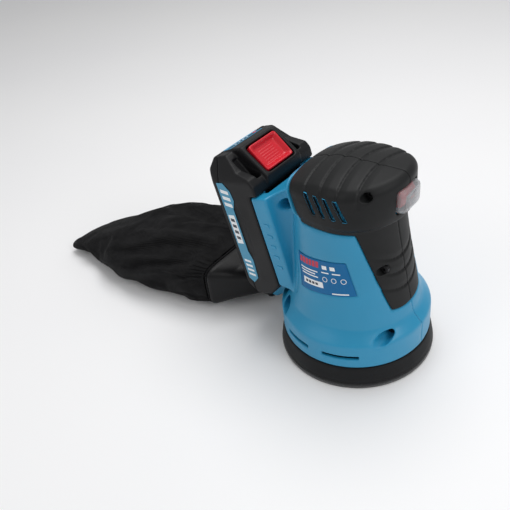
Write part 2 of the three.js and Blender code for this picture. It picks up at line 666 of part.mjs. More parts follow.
const releaseMiddle = RELEASE_TOP.clone().add(RELEASE_FOOT).multiplyScalar(0.5);

// Places a shape drawn flat, with +z out of the button's face and +x down its slope.
const onRelease = (geometry) => geometry
  .rotateY(RELEASE_TILT)
  .translate(releaseMiddle.x, 0, releaseMiddle.y);

function packShell() {
  const half = BATTERY_HALF_WIDTH;
  const frameHalf = PACK_FRAME_HALF_WIDTH;
  const block = solidOf(slab(PACK_MIDDLE, -frameHalf, frameHalf)).add(
    solidOf(slab(PACK_SIDES, -half, half)));
  const across = solidOf(slab(PACK_ACROSS, -80, 80).rotateZ(Math.PI / 2));
  const edgeCut = (side) => solidOf(box(-6, 6, -6, 6, -60, 180)
    .rotateZ(Math.PI / 4).translate(-BATTERY_DEPTH - 4, side * (half + 4), 0));
  return cut(block.intersect(across), edgeCut(-1), edgeCut(1));
}

function releaseBody(grow, depth) {
  const halfLength = RELEASE_LENGTH / 2 + grow;
  const halfWidth = RELEASE_HALF_WIDTH + grow;
  return solidOf(onRelease(
    box(-halfLength, halfLength, -halfWidth, halfWidth, -depth, RELEASE_PROUD)));
}

// The button's dish: wide at its face, with walls that slope in to a flat floor.
function releaseDish() {
  const depth = 3.4;
  const corner = Math.SQRT2;
  return solidOf(onRelease(new THREE.CylinderGeometry(corner, 0.78 * corner, depth, 4)
    .rotateY(Math.PI / 4)
    .rotateX(Math.PI / 2)
    .scale(RELEASE_LENGTH / 2 - RELEASE_RIM, RELEASE_HALF_WIDTH - RELEASE_RIM, 1)
    .translate(0, 0, RELEASE_PROUD + 0.1 - depth / 2)));
}

function gripPockets() {
  const pockets = [-1, 1].map((side) => solidOf(onRelease(
    box(-10, 11, -2.3, 2.3, -11, 8).translate(0, side * 23.5, 0))));
  return join(...pockets);
}

function cellBay() {
  const outline = [[-35, 0], [-27, -9.4], [-20, -9.4], [-6, -3], [-3.4, 4], [-3.4, 84], [-35, 84]];
  const half = CELL_LENGTH / 2 + 0.5;
  return solidOf(slab(outline, -half, half));
}

function buildBatteryCase() {
  const labelSeats = join(sideLabel(1, GAP, 0.8), sideLabel(-1, GAP, 0.8));
  const shell = cut(packShell(), releaseBody(0.5, 14), gripPockets(), cellBay(), labelSeats,
    gaugePanel(GAP, 1.3));
  const outside = solidOf(box(-80, BATTERY_SPLIT_X - GAP / 2, -80, 80, -80, 200));
  const inside = solidOf(box(BATTERY_SPLIT_X + GAP / 2, 80, -80, 80, -80, 200));
  addMesh(battery, 'battery_case_outer', shell.intersect(outside), BLACK_PLASTIC);

  const lip = solidOf(box(RAIL_DEPTH / 2 + 1, RAIL_DEPTH, -RAIL_HALF_WIDTH - RAIL_LIP,
    RAIL_HALF_WIDTH + RAIL_LIP, 8, 76));
  const rail = solidOf(box(-3, RAIL_DEPTH, -RAIL_HALF_WIDTH, RAIL_HALF_WIDTH, 8, 76));
  const flat = solidOf(box(-60, -GAP, -80, 80, -80, 150));
  const above = solidOf(box(-60, 60, -80, 80, MOUNT_LENGTH + 0.6, 200));
  const inner = shell.intersect(inside).intersect(join(flat, above));
  const bladeSlots = join(...[-1, 1].map((side) =>
    solidOf(box(-1, 6.6, side * 12 - 1.2, side * 12 + 1.2, 7.5, 26))));
  addMesh(battery, 'battery_case_inner', cut(join(inner, lip, rail), bladeSlots), BLACK_PLASTIC);
}

// A strip label on the pack's side wall.
function sideLabel(side, grow, depth) {
  const outline = [
    [-31.5 - grow, 3 - grow], [-27 + grow, -1 - grow], [-21 + grow, 4 - grow], [-19.5 + grow, 22],
    [-22 + grow, 30], [-22 + grow, 68], [-18.5 + grow, 76], [-19.5 + grow, 84 + grow],
    [-25 + grow, 91 + grow], [-31.5 - grow, 91 + grow],
  ];
  const wall = BATTERY_HALF_WIDTH;
  return side > 0
    ? solidOf(slab(outline, wall - depth, wall + grow))
    : solidOf(slab(outline, -wall - grow, -wall + depth));
}

// Places a shape drawn flat on the gauge's slope at the end of the pack.
const onGauge = (geometry) => geometry
  .rotateY(-GAUGE_TILT)
  .translate((GAUGE_REAR[0] + GAUGE_FRONT[0]) / 2, 0, (GAUGE_REAR[1] + GAUGE_FRONT[1]) / 2);

function gaugePanel(grow, depth) {
  const halfLength = GAUGE_HALF_LENGTH + grow;
  const halfWidth = GAUGE_HALF_WIDTH + grow;
  return solidOf(onGauge(box(-halfLength, halfLength, -halfWidth, halfWidth, -depth, grow)));
}

const gaugeDot = (r, bottom, top) => solidOf(onGauge(
  cylinderZ(GAUGE_BUTTON_X, GAUGE_BUTTON_Y, r, bottom, top)));

function buildBatteryFittings() {
  for (const [side, name] of [[-1, 'right'], [1, 'left']]) {
    addMesh(battery, `battery_label_${name}`, sideLabel(side, 0, 0.5), [0x3e8fb5, 0.4]);
  }
  const panel = cut(gaugePanel(0, 1), gaugeDot(GAUGE_BUTTON_R + GAP, -3, 3));
  addMesh(battery, 'gauge_panel', panel, [0x2f9bd0, 0.35]);
  addMesh(battery, 'gauge_button', gaugeDot(GAUGE_BUTTON_R, -0.6, 0.4), RED);

  for (let i = 0; i < CELLS; i += 1) {
    const cell = cylinderY(-22.5, 0.5 + i * CELL_PITCH, CELL_R, -CELL_LENGTH / 2, CELL_LENGTH / 2, 14);
    addMesh(battery, `battery_cell_${i + 1}`, cell, [0x2c7a53, 0.45]);
  }
  addMesh(battery, 'battery_board', box(-7.5, -5.9, -28, 28, 6, 82), [0x1d6b3c, 0.6]);

  addMesh(battery, 'release_button', cut(releaseBody(0, RELEASE_DEPTH), releaseDish()), RED);
  const spring = ring(2.6, 4, -13.6, -RELEASE_DEPTH - 0.5, 0, 10);
  addMesh(battery, 'release_spring', onRelease(spring), STEEL);
}

// ---------------------------------------------------------------- terminals on the body

function buildTerminals() {
  addMesh(battery, 'terminal_block', box(-0.1, 8.4, -17, 17, 6.4, 7.6), [0x1a1b1d, 0.6]);
  [-1, 1].forEach((side, i) => addMesh(battery, `terminal_blade_${i + 1}`,
    box(0.6, 5.6, side * 12 - 0.5, side * 12 + 0.5, 7.6 + GAP, 24), [0xc8a25a, 0.35, 0.9]));
}

// ---------------------------------------------------------------- dust duct, adaptor and bag

function buildDust() {
  const middleZ = (DUCT_BOTTOM_Z + DUCT_TOP_Z) / 2;
  const halfHeight = (DUCT_TOP_Z - DUCT_BOTTOM_Z) / 2;
  const duct = (inset, out) => solidOf(loft([
    ductThroat(-52 + out, -inset),
    ductThroat(-66, -inset),
    crossSection(-73, 0, middleZ, DUCT_HALF_WIDTH - inset, halfHeight - inset, 3.2),
    crossSection(DUCT_END_X - out, 0, middleZ, DUCT_HALF_WIDTH - inset, halfHeight - inset, 3.2),
  ], 20));
  addMesh(model, 'dust_duct', cut(duct(0, 0), duct(DUCT_WALL, 1)), BLUE);

  const mouthZ = (MOUTH_TOP_Z + MOUTH_BOTTOM_Z) / 2;
  const mouthHalf = (MOUTH_TOP_Z - MOUTH_BOTTOM_Z) / 2;
  const sleeve = DUCT_HALF_WIDTH + GAP;
  const sleeveHigh = halfHeight + GAP;
  const adaptor = (grow, out) => solidOf(loft([
    crossSection(-77 + out, 0, middleZ, sleeve + grow, sleeveHigh + grow, 3.2),
    crossSection(-88, 0, middleZ, sleeve + grow, sleeveHigh + grow, 3.2),
    crossSection(-106, 0, (middleZ + mouthZ) / 2, 33 + grow, 14 + grow, 5),
    crossSection(MOUTH_X + 3, 0, mouthZ, MOUTH_HALF_WIDTH - 2 + grow, mouthHalf - 2 + grow, 7),
    crossSection(MOUTH_X - out, 0, mouthZ, MOUTH_HALF_WIDTH - 2 + grow, mouthHalf - 2 + grow, 7),
  ], 24));
  addMesh(model, 'bag_adaptor', cut(adaptor(DUCT_WALL, 0), adaptor(0, 1)), BLACK_PLASTIC);

  const hem = (inset, out) => solidOf(loft([
    crossSection(MOUTH_X - GAP + out, 0, mouthZ, MOUTH_HALF_WIDTH - inset, mouthHalf - inset, 7),
    crossSection(MOUTH_X - 3 - out, 0, mouthZ, MOUTH_HALF_WIDTH - inset, mouthHalf - inset, 7),
  ], 24));
  addMesh(model, 'bag_elastic', cut(hem(0, 0), hem(2.4, 1)), [0x17181a, 0.95]);

  const bag = loft(BAG.map(([x, y, half, bottom, top, squareness]) =>
    crossSection(x, y, (top + bottom) / 2, half, (top - bottom) / 2, squareness)), 24);
  addMesh(model, 'dust_bag', bag, [0x111214, 0.98]);
}

buildHousing();
buildGrip();
buildScrews();
buildRatingLabel();
buildSwitch();
buildMotor();
buildFan();
buildOrbitDrive();
buildPad();
buildBatteryCase();
buildBatteryFittings();
buildTerminals();
buildDust();

export default model;
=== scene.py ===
import math

import bmesh
import bpy
import numpy as np
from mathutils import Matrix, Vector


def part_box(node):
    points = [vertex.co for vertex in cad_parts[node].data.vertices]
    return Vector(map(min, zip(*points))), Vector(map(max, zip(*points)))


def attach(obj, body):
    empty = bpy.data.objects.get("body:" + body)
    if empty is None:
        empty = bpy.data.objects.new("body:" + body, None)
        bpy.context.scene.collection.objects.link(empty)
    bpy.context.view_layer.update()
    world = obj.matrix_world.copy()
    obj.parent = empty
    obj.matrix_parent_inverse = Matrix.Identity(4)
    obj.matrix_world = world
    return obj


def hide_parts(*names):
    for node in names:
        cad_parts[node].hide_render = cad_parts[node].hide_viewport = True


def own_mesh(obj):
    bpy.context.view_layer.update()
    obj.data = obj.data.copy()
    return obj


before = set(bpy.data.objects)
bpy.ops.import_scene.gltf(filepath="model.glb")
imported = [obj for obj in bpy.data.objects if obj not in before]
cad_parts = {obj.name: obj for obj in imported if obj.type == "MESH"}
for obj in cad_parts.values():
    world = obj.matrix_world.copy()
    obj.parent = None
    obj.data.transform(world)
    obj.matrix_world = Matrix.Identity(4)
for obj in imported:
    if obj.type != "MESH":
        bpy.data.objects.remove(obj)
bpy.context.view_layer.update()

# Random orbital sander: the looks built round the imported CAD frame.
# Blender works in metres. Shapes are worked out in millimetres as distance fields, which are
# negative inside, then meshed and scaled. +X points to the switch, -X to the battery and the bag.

import openvdb
from mathutils import Matrix, Vector

MM = 0.001

# ------------------------------------------------------------------ sizes, as in the CAD source

PAD_R = 62.5
PAD_TOP_R = 59.6
PAD_TOP_Z = 19
HOOK_TOP_Z = 4.2
PLATE_R = 52
PLATE_BOTTOM_Z = 12.5
DUST_HOLES = 8
DUST_HOLE_R = 4.6
DUST_HOLE_CIRCLE_R = 38

SKIRT_R = 59.3
SKIRT_BOTTOM_Z = 19.7
SKIRT_RIDGE_Z = 41
SHOULDER_R = 52.5
SHOULDER_Z = 48
SKIRT_WALL = 2.6
CHAMBER_TOP_Z = 38
WALL = 5
GRIP_THICKNESS = 2.2
GAP = 0.3

# Stations of the neck and the head: height, rear x, front x, half width, rear and front squareness.
NECK = [
    (40, -53.5, 53.5, 53.5, 2, 2),
    (50, -51.5, 51.5, 51, 2, 2),
    (65, -48, 48.5, 46, 2.05, 2.1),
    (80, -45.5, 45.6, 42.5, 2.15, 2.15),
    (100, -43.5, 41.8, 39.8, 2.3, 2.2),
    (118, -41.5, 38.6, 38.6, 2.5, 2.25),
    (138, -38, 35.6, 38, 2.7, 2.3),
]
HEAD = [
    (132.5, -31.5, 43, 38.9, 4.2, 2.1),
    (140, -33.5, 44.6, 39.4, 4.2, 2.1),
    (150, -36, 45.6, 39.6, 4.2, 2.1),
    (158, -37, 45.6, 39.4, 4.2, 2.1),
]
NECK_TOP_Z = 145
HEAD_BOTTOM_Z = 132.5
HEAD_TOP_Z = 168
CROWN_FALL_Y = 0.0045
CROWN_FALL_REAR = 0.0055
CROWN_X = 7
CROWN_EDGE_R = 6

HEAD_COVER = [(-40, 190), (-33.5, 157), (-19.5, 128), (90, 128), (90, 190)]
NECK_PANEL = [(19, 138), (44.4, 61.6), (48.5, 59.5), (90, 59.5), (90, 138)]
COLLAR = [(-60, 126), (-19.8, 126), (-33.8, 156), (-60, 146)]
COLLAR_PROUD = 2.4

LEAN = math.radians(13.3)
FOOT = (-48, 56)
MOUNT = [(0, 0), (40, -9), (34, 83.3), (14, 79.3), (0, 79.3)]
MOUNT_LENGTH = 79.3
MOUNT_HALF_WIDTH = 36.3
WAIST_R = 15
WAIST_U = 30
RAIL_HALF_WIDTH = 22
RAIL_LIP = 3.5
RAIL_DEPTH = 8

WELL_R = 4.4
WELL_LINING = 0.95
BOSS_R = 5.6
SCREWS = [(30.5, 159.5, 22), (37.5, 96, 16), (45, 43, 18), (-42, 129, 14), (-38, 43.5, 18)]
SCREW_REACH = 12

HEAD_VENTS = [-13 + 7.8 * i for i in range(4)]
VENT_RIM = 0.45
VENT_WALL = 0.75
SKIRT_VENTS = [(-69, 14), (-107, 12), (69, 14), (107, 12)]
SKIRT_VENT_Z = 30
LABEL = [(-21, 72), (26, 79), (17, 105), (-26, 99)]

BOOT_Z = 149.2
BOOT_HALF_WIDTH = 12.5
BOOT_HALF_HEIGHT = 9
ROCKER_PIVOT = (37, 148.5)
ROCKER_TILT = math.radians(6)

PACK_HALF_WIDTH = 37
PACK_DEPTH = 38.5
PACK_SPLIT_U = -29
PACK_FRAME_HALF_WIDTH = 21
PACK_FOOT = [(0, 0), (-11, -10.5), (-27, -12), (-35, -4.5), (-38.5, 1)]
GAUGE_REAR = (-33, 109.5)
GAUGE_FRONT = (-22, 112)
PACK_MIDDLE = PACK_FOOT + [
    (-38.5, 101), GAUGE_REAR, GAUGE_FRONT, (-10.5, 113), (8.8, 90.5), (8.5, 85), (6.5, 80), (0, 80),
]
PACK_SIDES = PACK_FOOT + [
    (-38.5, 101), (-33, 109.5), (-20, 110.5), (-9, 98), (3.4, 93.5), (6.5, 88), (6.5, 80), (0, 80),
]
PACK_ACROSS = [
    (-37, -30), (37, -30), (37, 91), (34.4, 98), (31, 106), (29, 111), (21.5, 114), (-21.5, 114),
    (-29, 111), (-31, 106), (-34.4, 98), (-37, 91),
]
CELL_BAY = [(-35, 0), (-27, -9.4), (-20, -9.4), (-6, -3), (-3.4, 4), (-3.4, 84), (-35, 84)]
CELL_BAY_HALF_WIDTH = 33
STRIP_LABEL = [
    (-31.5, 3), (-27, -1), (-21, 4), (-19.5, 22), (-22, 30), (-22, 68), (-18.5, 76), (-19.5, 84),
    (-25, 91), (-31.5, 91),
]
SIDE_STEP = [(-21.4, 31), (-18.2, 25), (-15.6, 29), (-15.6, 66), (-17.6, 73), (-21.4, 67)]
GAUGE_MIDDLE = ((GAUGE_REAR[0] + GAUGE_FRONT[0]) / 2, (GAUGE_REAR[1] + GAUGE_FRONT[1]) / 2)
GAUGE_TILT = math.atan2(GAUGE_FRONT[1] - GAUGE_REAR[1], GAUGE_FRONT[0] - GAUGE_REAR[0])
GAUGE_HALF = (5, 19)
GAUGE_KEY = (2.4, 12)
GAUGE_KEY_R = 1.7
RELEASE_TOP = (-8.4, 111.2)
RELEASE_FOOT = (6, 91.7)
RELEASE_HALF = (12.5, 16.5)

DUCT_HALF_WIDTH = 16
DUCT_Z = (14.5, 35.5)
DUCT_END_X = -86
MOUTH_X = -122
MOUTH_HALF_WIDTH = 48
MOUTH_Z = (7, 46.5)
# Stations of the full bag: x, middle y, half width, bottom, top, squareness.
BAG = [
    (-125.5, 0, 48, 6, 46.5, 6),
    (-143, -2.5, 54.5, 0.2, 49.5, 3.6),
    (-168, -3.5, 57.5, 0.2, 52.5, 2.8),
    (-200, -4.5, 57, 0.2, 50, 2.6),
    (-235, -12, 49.5, 0.2, 41, 2.6),
    (-262, -20, 40, 0.2, 31, 2.6),
    (-285, -29, 29, 0.2, 24, 2.6),
    (-302, -38, 18, 0.2, 17, 2.6),
    (-314, -43, 9, 0.2, 10, 2.6),
]

# ------------------------------------------------------------------ materials


def srgb(red, green, blue):
    """A linear colour from 0-255 screen values."""
    def linear(value):
        value /= 255
        return value / 12.92 if value <= 0.04045 else ((value + 0.055) / 1.055) ** 2.4
    return (linear(red), linear(green), linear(blue), 1)


def scaled(colour, by):
    return tuple(min(1, channel * by) for channel in colour[:3]) + (1,)


class Shader:
    """A material with one Principled shader and helpers that add nodes to it."""

    def __init__(self, name, colour, roughness, **sockets):
        self.material = bpy.data.materials.new(name)
        self.material.use_nodes = True
        self.material.diffuse_color = colour
        self.tree = self.material.node_tree
        self.main = self.tree.nodes["Principled BSDF"]
        self.main.inputs["Base Color"].default_value = colour
        self.main.inputs["Roughness"].default_value = roughness
        for socket, value in sockets.items():
            self.main.inputs[socket.replace("_", " ")].default_value = value
        coordinates = self.tree.nodes.new("ShaderNodeTexCoord")
        self.place = coordinates.outputs["Object"]

    def node(self, kind, inputs=None, **settings):
        made = self.tree.nodes.new("ShaderNode" + kind)
        for key, value in settings.items():
            setattr(made, key, value)
        for key, value in (inputs or {}).items():
            if isinstance(value, bpy.types.NodeSocket):
                self.tree.links.new(value, made.inputs[key])
            else:
                made.inputs[key].default_value = value
        return made

    def noise(self, scale, detail=2, stretch=None):
        place = self.place
        if stretch:
            place = self.node("Mapping", {"Vector": place, "Scale": stretch}).outputs[0]
        return self.node("TexNoise", {"Vector": place, "Scale": scale, "Detail": detail}).outputs["Fac"]

    def fit(self, value, low, high, start=0, end=1):
        return self.node("MapRange", {
            "Value": value, "From Min": start, "From Max": end, "To Min": low, "To Max": high,
        }).outputs[0]

    def mix(self, share, first, second, blend="MIX"):
        mixed = self.node("Mix", data_type="RGBA", blend_type=blend)
        for index, value in ((0, share), (6, first), (7, second)):
            if isinstance(value, bpy.types.NodeSocket):
                self.tree.links.new(value, mixed.inputs[index])
            else:
                mixed.inputs[index].default_value = value
        return mixed.outputs[2]

    def bump(self, height, distance, strength=1, normal=None):
        inputs = {"Height": height, "Distance": distance, "Strength": strength}
        if normal:
            inputs["Normal"] = normal
        return self.node("Bump", inputs).outputs[0]

    def drive(self, socket, value):
        self.tree.links.new(value, self.main.inputs[socket])

    def roughen(self, pattern, low, high):
        """Varies the roughness between two values with the middle of a noise pattern."""
        self.drive("Roughness", self.fit(pattern, low, high, 0.3, 0.7))


def moulded(name, colour, roughness, grain=0.00045, depth=0.00003, wear=1.5, drift=0.06, **sockets):
    """Moulded plastic or rubber: spark-eroded grain, faint flow marks and paler worn edges."""
    shader = Shader(name, colour, roughness, **sockets)
    flow = shader.noise(14, 4)
    base = shader.mix(shader.fit(flow, 0, 1, 0.3, 0.7), scaled(colour, 1 - drift), scaled(colour, 1 + drift))
    edge = shader.node("NewGeometry").outputs["Pointiness"]
    worn = shader.node("Math", {0: shader.fit(edge, 0, 1, 0.53, 0.62), 1: shader.noise(160, 3)},
                       operation="MULTIPLY").outputs[0]
    shader.drive("Base Color", shader.mix(worn, base, scaled(colour, wear)))
    shader.roughen(shader.noise(38, 5), roughness - 0.06, roughness + 0.07)
    shader.drive("Normal", shader.bump(shader.noise(1 / grain, 1), depth))
    return shader.material


def dull_black(name, colour, roughness, **settings):
    """A moulded black that reflects little, as the photo's blacks do."""
    return moulded(name, colour, roughness, Specular_IOR_Level=0.25, **settings)


def metal(name, colour, roughness, stretch=(1, 1, 12)):
    """Turned or drawn metal with fine tool lines and slightly dulled patches."""
    shader = Shader(name, colour, roughness, Metallic=1.0)
    lines = shader.noise(420, 2, stretch)
    shader.roughen(shader.noise(60, 3), roughness - 0.08, roughness + 0.12)
    shader.drive("Base Color", shader.mix(lines, scaled(colour, 0.85), scaled(colour, 1.08)))
    shader.drive("Normal", shader.bump(lines, 0.00004))
    return shader.material


def woven(name, colour, thread=0.0007, depth=0.0003, sheen=0.25):
    """A plain weave: two crossed sets of threads, uneven in colour, with a soft sheen."""
    shader = Shader(name, colour, 0.8, Sheen_Weight=sheen, Sheen_Roughness=0.45)
    shader.main.inputs["Sheen Tint"].default_value = scaled(colour, 14)
    shader.main.inputs["Specular IOR Level"].default_value = 0.25
    turn = math.pi / thread
    crossed = []
    for axis in ("X", "Y", "Z"):
        split = shader.node("SeparateXYZ", {0: shader.place}).outputs[axis]
        angle = shader.node("Math", {0: split, 1: turn}, operation="MULTIPLY").outputs[0]
        crossed.append(shader.node("Math", {0: angle}, operation="SINE").outputs[0])
    first = shader.node("Math", {0: crossed[0], 1: crossed[1]}, operation="MULTIPLY").outputs[0]
    weave = shader.node("Math", {0: first, 1: crossed[2]}, operation="ADD").outputs[0]
    threads = shader.fit(weave, 0.82, 1.12, -1, 1)
    uneven = shader.fit(shader.noise(24, 5), 0.75, 1.3, 0.3, 0.7)
    shade = shader.node("Math", {0: threads, 1: uneven}, operation="MULTIPLY").outputs[0]
    tint = shader.node("VectorMath", {0: colour[:3], "Scale": shade}, operation="SCALE").outputs[0]
    shader.drive("Base Color", tint)
    shader.roughen(shader.noise(90, 3), 0.72, 0.92)
    creases = shader.bump(shader.noise(55, 5), 0.0012, 0.5)
    shader.drive("Normal", shader.bump(weave, depth, 0.7, creases))
    return shader.material


def pile(name, colour):
    """Short hook pile: a coarse speckle of upright fibres."""
    shader = Shader(name, colour, 0.95, Sheen_Weight=0.4, Sheen_Roughness=0.6)
    speckle = shader.noise(900, 3)
    shader.drive("Base Color", shader.mix(speckle, scaled(colour, 0.5), scaled(colour, 2.2)))
    shader.roughen(shader.noise(300, 2), 0.85, 1.0)
    shader.drive("Normal", shader.bump(speckle, 0.0006))
    return shader.material


def clear_plastic(name):
    """A milky clear moulding, slightly scratched."""
    shader = Shader(name, srgb(236, 238, 240), 0.16, Transmission_Weight=0.82, IOR=1.35)
    scratches = shader.noise(220, 3, (1, 4, 1))
    shader.roughen(scratches, 0.1, 0.24)
    haze = shader.fit(shader.noise(45, 3), 0, 0.35, 0.3, 0.7)
    shader.drive("Base Color", shader.mix(haze, srgb(236, 238, 240), srgb(205, 208, 212)))
    shader.drive("Normal", shader.bump(scratches, 0.00003))
    return shader.material


def printed(name, colour, roughness=0.4):
    """Printed film: an even ink with a faint half-tone mottle."""
    shader = Shader(name, colour, roughness, Specular_IOR_Level=0.3)
    mottle = shader.noise(700, 2)
    shader.drive("Base Color", shader.mix(mottle, scaled(colour, 0.93), scaled(colour, 1.05)))
    shader.roughen(shader.noise(70, 3), roughness - 0.07, roughness + 0.08)
    return shader.material


def circuit_board(name):
    """Green board with paler tracks."""
    shader = Shader(name, srgb(29, 107, 60), 0.45, Coat_Weight=0.4)
    tracks = shader.node("TexBrick", {
        "Vector": shader.place, "Scale": 90, "Mortar Size": 0.06,
        "Color1": srgb(24, 92, 52), "Color2": srgb(31, 112, 64), "Mortar": srgb(120, 170, 96),
    })
    shader.drive("Base Color", tracks.outputs["Color"])
    shader.drive("Normal", shader.bump(tracks.outputs["Fac"], 0.0001))
    return shader.material


BLUE = moulded("blue_housing", srgb(36, 142, 184), 0.36, wear=1.25)
RUBBER = dull_black("black_grip", srgb(22, 23, 24), 0.52, grain=0.0006, depth=0.00005)
BLACK = dull_black("black_pack", srgb(19, 19, 21), 0.45, grain=0.0005, depth=0.00005, wear=1.7)
SATIN_BLACK = dull_black("black_adaptor", srgb(15, 15, 17), 0.38, wear=1.9)
INNER_BLACK = dull_black("black_inner", srgb(24, 25, 27), 0.55)
FOAM = dull_black("pad_foam_rubber", srgb(18, 19, 21), 0.6, grain=0.0009, depth=0.00012)
RED = moulded("red_key", srgb(206, 22, 40), 0.33, wear=1.25, Subsurface_Weight=0.05)
HOOKS = pile("hook_pile", srgb(20, 21, 23))
FABRIC = woven("bag_polyester", srgb(9, 9, 11), sheen=0.12)
ELASTIC = woven("hem_elastic", srgb(11, 11, 13), thread=0.0011, depth=0.0004)
CLEAR = clear_plastic("clear_boot")
LABEL_BLUE = printed("label_blue", srgb(0, 102, 158))
STRIP_BLUE = printed("strip_blue", srgb(82, 152, 184))
GAUGE_BLUE = printed("gauge_blue", srgb(66, 160, 205))
INK_WHITE = printed("ink_white", srgb(238, 242, 245))
INK_RED = printed("ink_red", srgb(198, 62, 84))
INK_DARK = printed("ink_dark", srgb(60, 66, 74))
STEEL = metal("bright_steel", srgb(176, 179, 184), 0.3)
BLACKENED = metal("blackened_steel", srgb(58, 58, 60), 0.45)
DULL_STEEL = metal("dull_steel", srgb(120, 123, 128), 0.42)
COPPER = metal("copper", srgb(196, 124, 66), 0.38, (12, 1, 1))
BRASS = metal("brass", srgb(205, 170, 96), 0.32)
MAGNET = moulded("ferrite", srgb(58, 58, 61), 0.6, grain=0.0012, depth=0.0001)
BOARD = circuit_board("circuit_board")
CELL_WRAP = printed("cell_wrap", srgb(44, 122, 83), 0.35)

# ------------------------------------------------------------------ distance fields and meshing


class Grid:
    """Sample points of a box, in millimetres, as three arrays that broadcast against each other."""

    def __init__(self, low, high, step):
        self.low = np.array(low, float)
        self.step = step
        axes = [np.arange(a, b, step, dtype=np.float32) for a, b in zip(low, high)]
        self.x, self.y, self.z = np.meshgrid(*axes, indexing="ij", sparse=True)
        self.shape = tuple(len(axis) for axis in axes)


def round_max(a, b, r):
    """What two fields share, with an outer edge of radius r."""
    return np.minimum(np.maximum(a, b), -r) + np.hypot(np.maximum(a + r, 0), np.maximum(b + r, 0))


def round_min(a, b, r):
    """Two fields joined, with an inner corner of radius r."""
    return -round_max(-a, -b, r)


def line_field(a, b, points):
    """Distance from an open line of points in the plane of a and b."""
    nearest = np.float32(1e6)
    for (a0, b0), (a1, b1) in zip(points, points[1:]):
        da, db = a1 - a0, b1 - b0
        along = np.clip(((a - a0) * da + (b - b0) * db) / (da * da + db * db), 0, 1)
        nearest = np.minimum(nearest, np.hypot(a - a0 - along * da, b - b0 - along * db))
    return nearest


def outline(a, b, points):
    """Distance from a polygon of points in the plane of a and b."""
    closed = points + points[:1]
    nearest = line_field(a, b, closed)
    inside = np.zeros(np.broadcast_shapes(a.shape, b.shape), bool)
    for (a0, b0), (a1, b1) in zip(closed, closed[1:]):
        if b1 != b0:
            inside ^= ((b0 > b) != (b1 > b)) & (a < a0 + (b - b0) * (a1 - a0) / (b1 - b0))
    return np.where(inside, -nearest, nearest).astype(np.float32)


def softened(field, passes):
    """The field after some passes of a small averaging filter, which turns its edges round."""
    for _ in range(passes):
        for axis in range(field.ndim):
            if field.shape[axis] > 2:
                middle = np.moveaxis(field, axis, 0)
                smooth = middle.copy()
                smooth[1:-1] = (middle[:-2] + 2 * middle[1:-1] + middle[2:]) / 4
                field = np.moveaxis(smooth, 0, axis)
    return field


def box_field(a, b, c, low, high, r=0.0):
    """Distance from a box between two corners, with its edges rounded by r."""
    offsets = [np.abs(v - (m + n) / 2) - (n - m) / 2 + r for v, m, n in zip((a, b, c), low, high)]
    outside = np.sqrt(sum(np.maximum(offset, 0) ** 2 for offset in offsets))
    inside = np.minimum(np.maximum(np.maximum(offsets[0], offsets[1]), offsets[2]), 0)
    return outside + inside - r


def stations_at(stations, along, spread=4.0):
    """The stations' values at the given places, blended so that no crease shows at a station."""
    table = np.array(stations, float)
    flat = np.asarray(along, float)
    steps = np.linspace(-spread, spread, 9)
    weights = np.cos(steps / spread * math.pi / 2) ** 2 + 1e-6
    weights /= weights.sum()
    columns = []
    for column in range(1, table.shape[1]):
        value = sum(w * np.interp(flat + s, table[:, 0], table[:, column]) for s, w in zip(steps, weights))
        columns.append(value.astype(np.float32))
    return columns


def oval(u, v, reach, half, squareness):
    """Distance from an oval |u/reach|^n + |v/half|^n = 1, true near its edge."""
    n = squareness
    a = np.maximum(np.abs(u) / reach, 1e-3)
    b = np.maximum(np.abs(v) / half, 1e-3)
    size = (a ** n + b ** n) ** (1 / n)
    slope = np.hypot((a / size) ** (n - 1) / reach, (b / size) ** (n - 1) / half)
    return (size - 1) / slope


def body_field(grid, stations):
    """A body of level sections through its stations."""
    rear, front, half, rear_n, front_n = stations_at(stations, grid.z)
    middle = (rear + front) / 2
    squareness = np.where(grid.x > middle, front_n, rear_n)
    return oval(grid.x - middle, grid.y, (front - rear) / 2, half, squareness).astype(np.float32)


def sampled(volume, cells, weights):
    """Values of a grid volume between its sample points."""
    total = 0
    for corner in range(8):
        shift = [(corner >> axis) & 1 for axis in range(3)]
        share = 1
        for axis in range(3):
            share = share * (weights[:, axis] if shift[axis] else 1 - weights[:, axis])
        total = total + share * volume[tuple(cells[:, axis] + shift[axis] for axis in range(3))]
    return total


def link(obj):
    bpy.context.scene.collection.objects.link(obj)
    return obj


def ring_faces(rings, around, closed=False):
    """The quads between rings of points, and from the last ring to the first if it is closed."""
    faces = []
    for i in range(rings if closed else rings - 1):
        near, far = i * around, (i + 1) % rings * around
        for j in range(around):
            k = (j + 1) % around
            faces.append((near + j, near + k, far + k, far + j))
    return faces


def mesh_object(name, points, faces, material):
    mesh = bpy.data.meshes.new(name)
    mesh.from_pydata(np.asarray(points).tolist(), [], faces)
    mesh.materials.append(material)
    return link(bpy.data.objects.new(name, mesh))


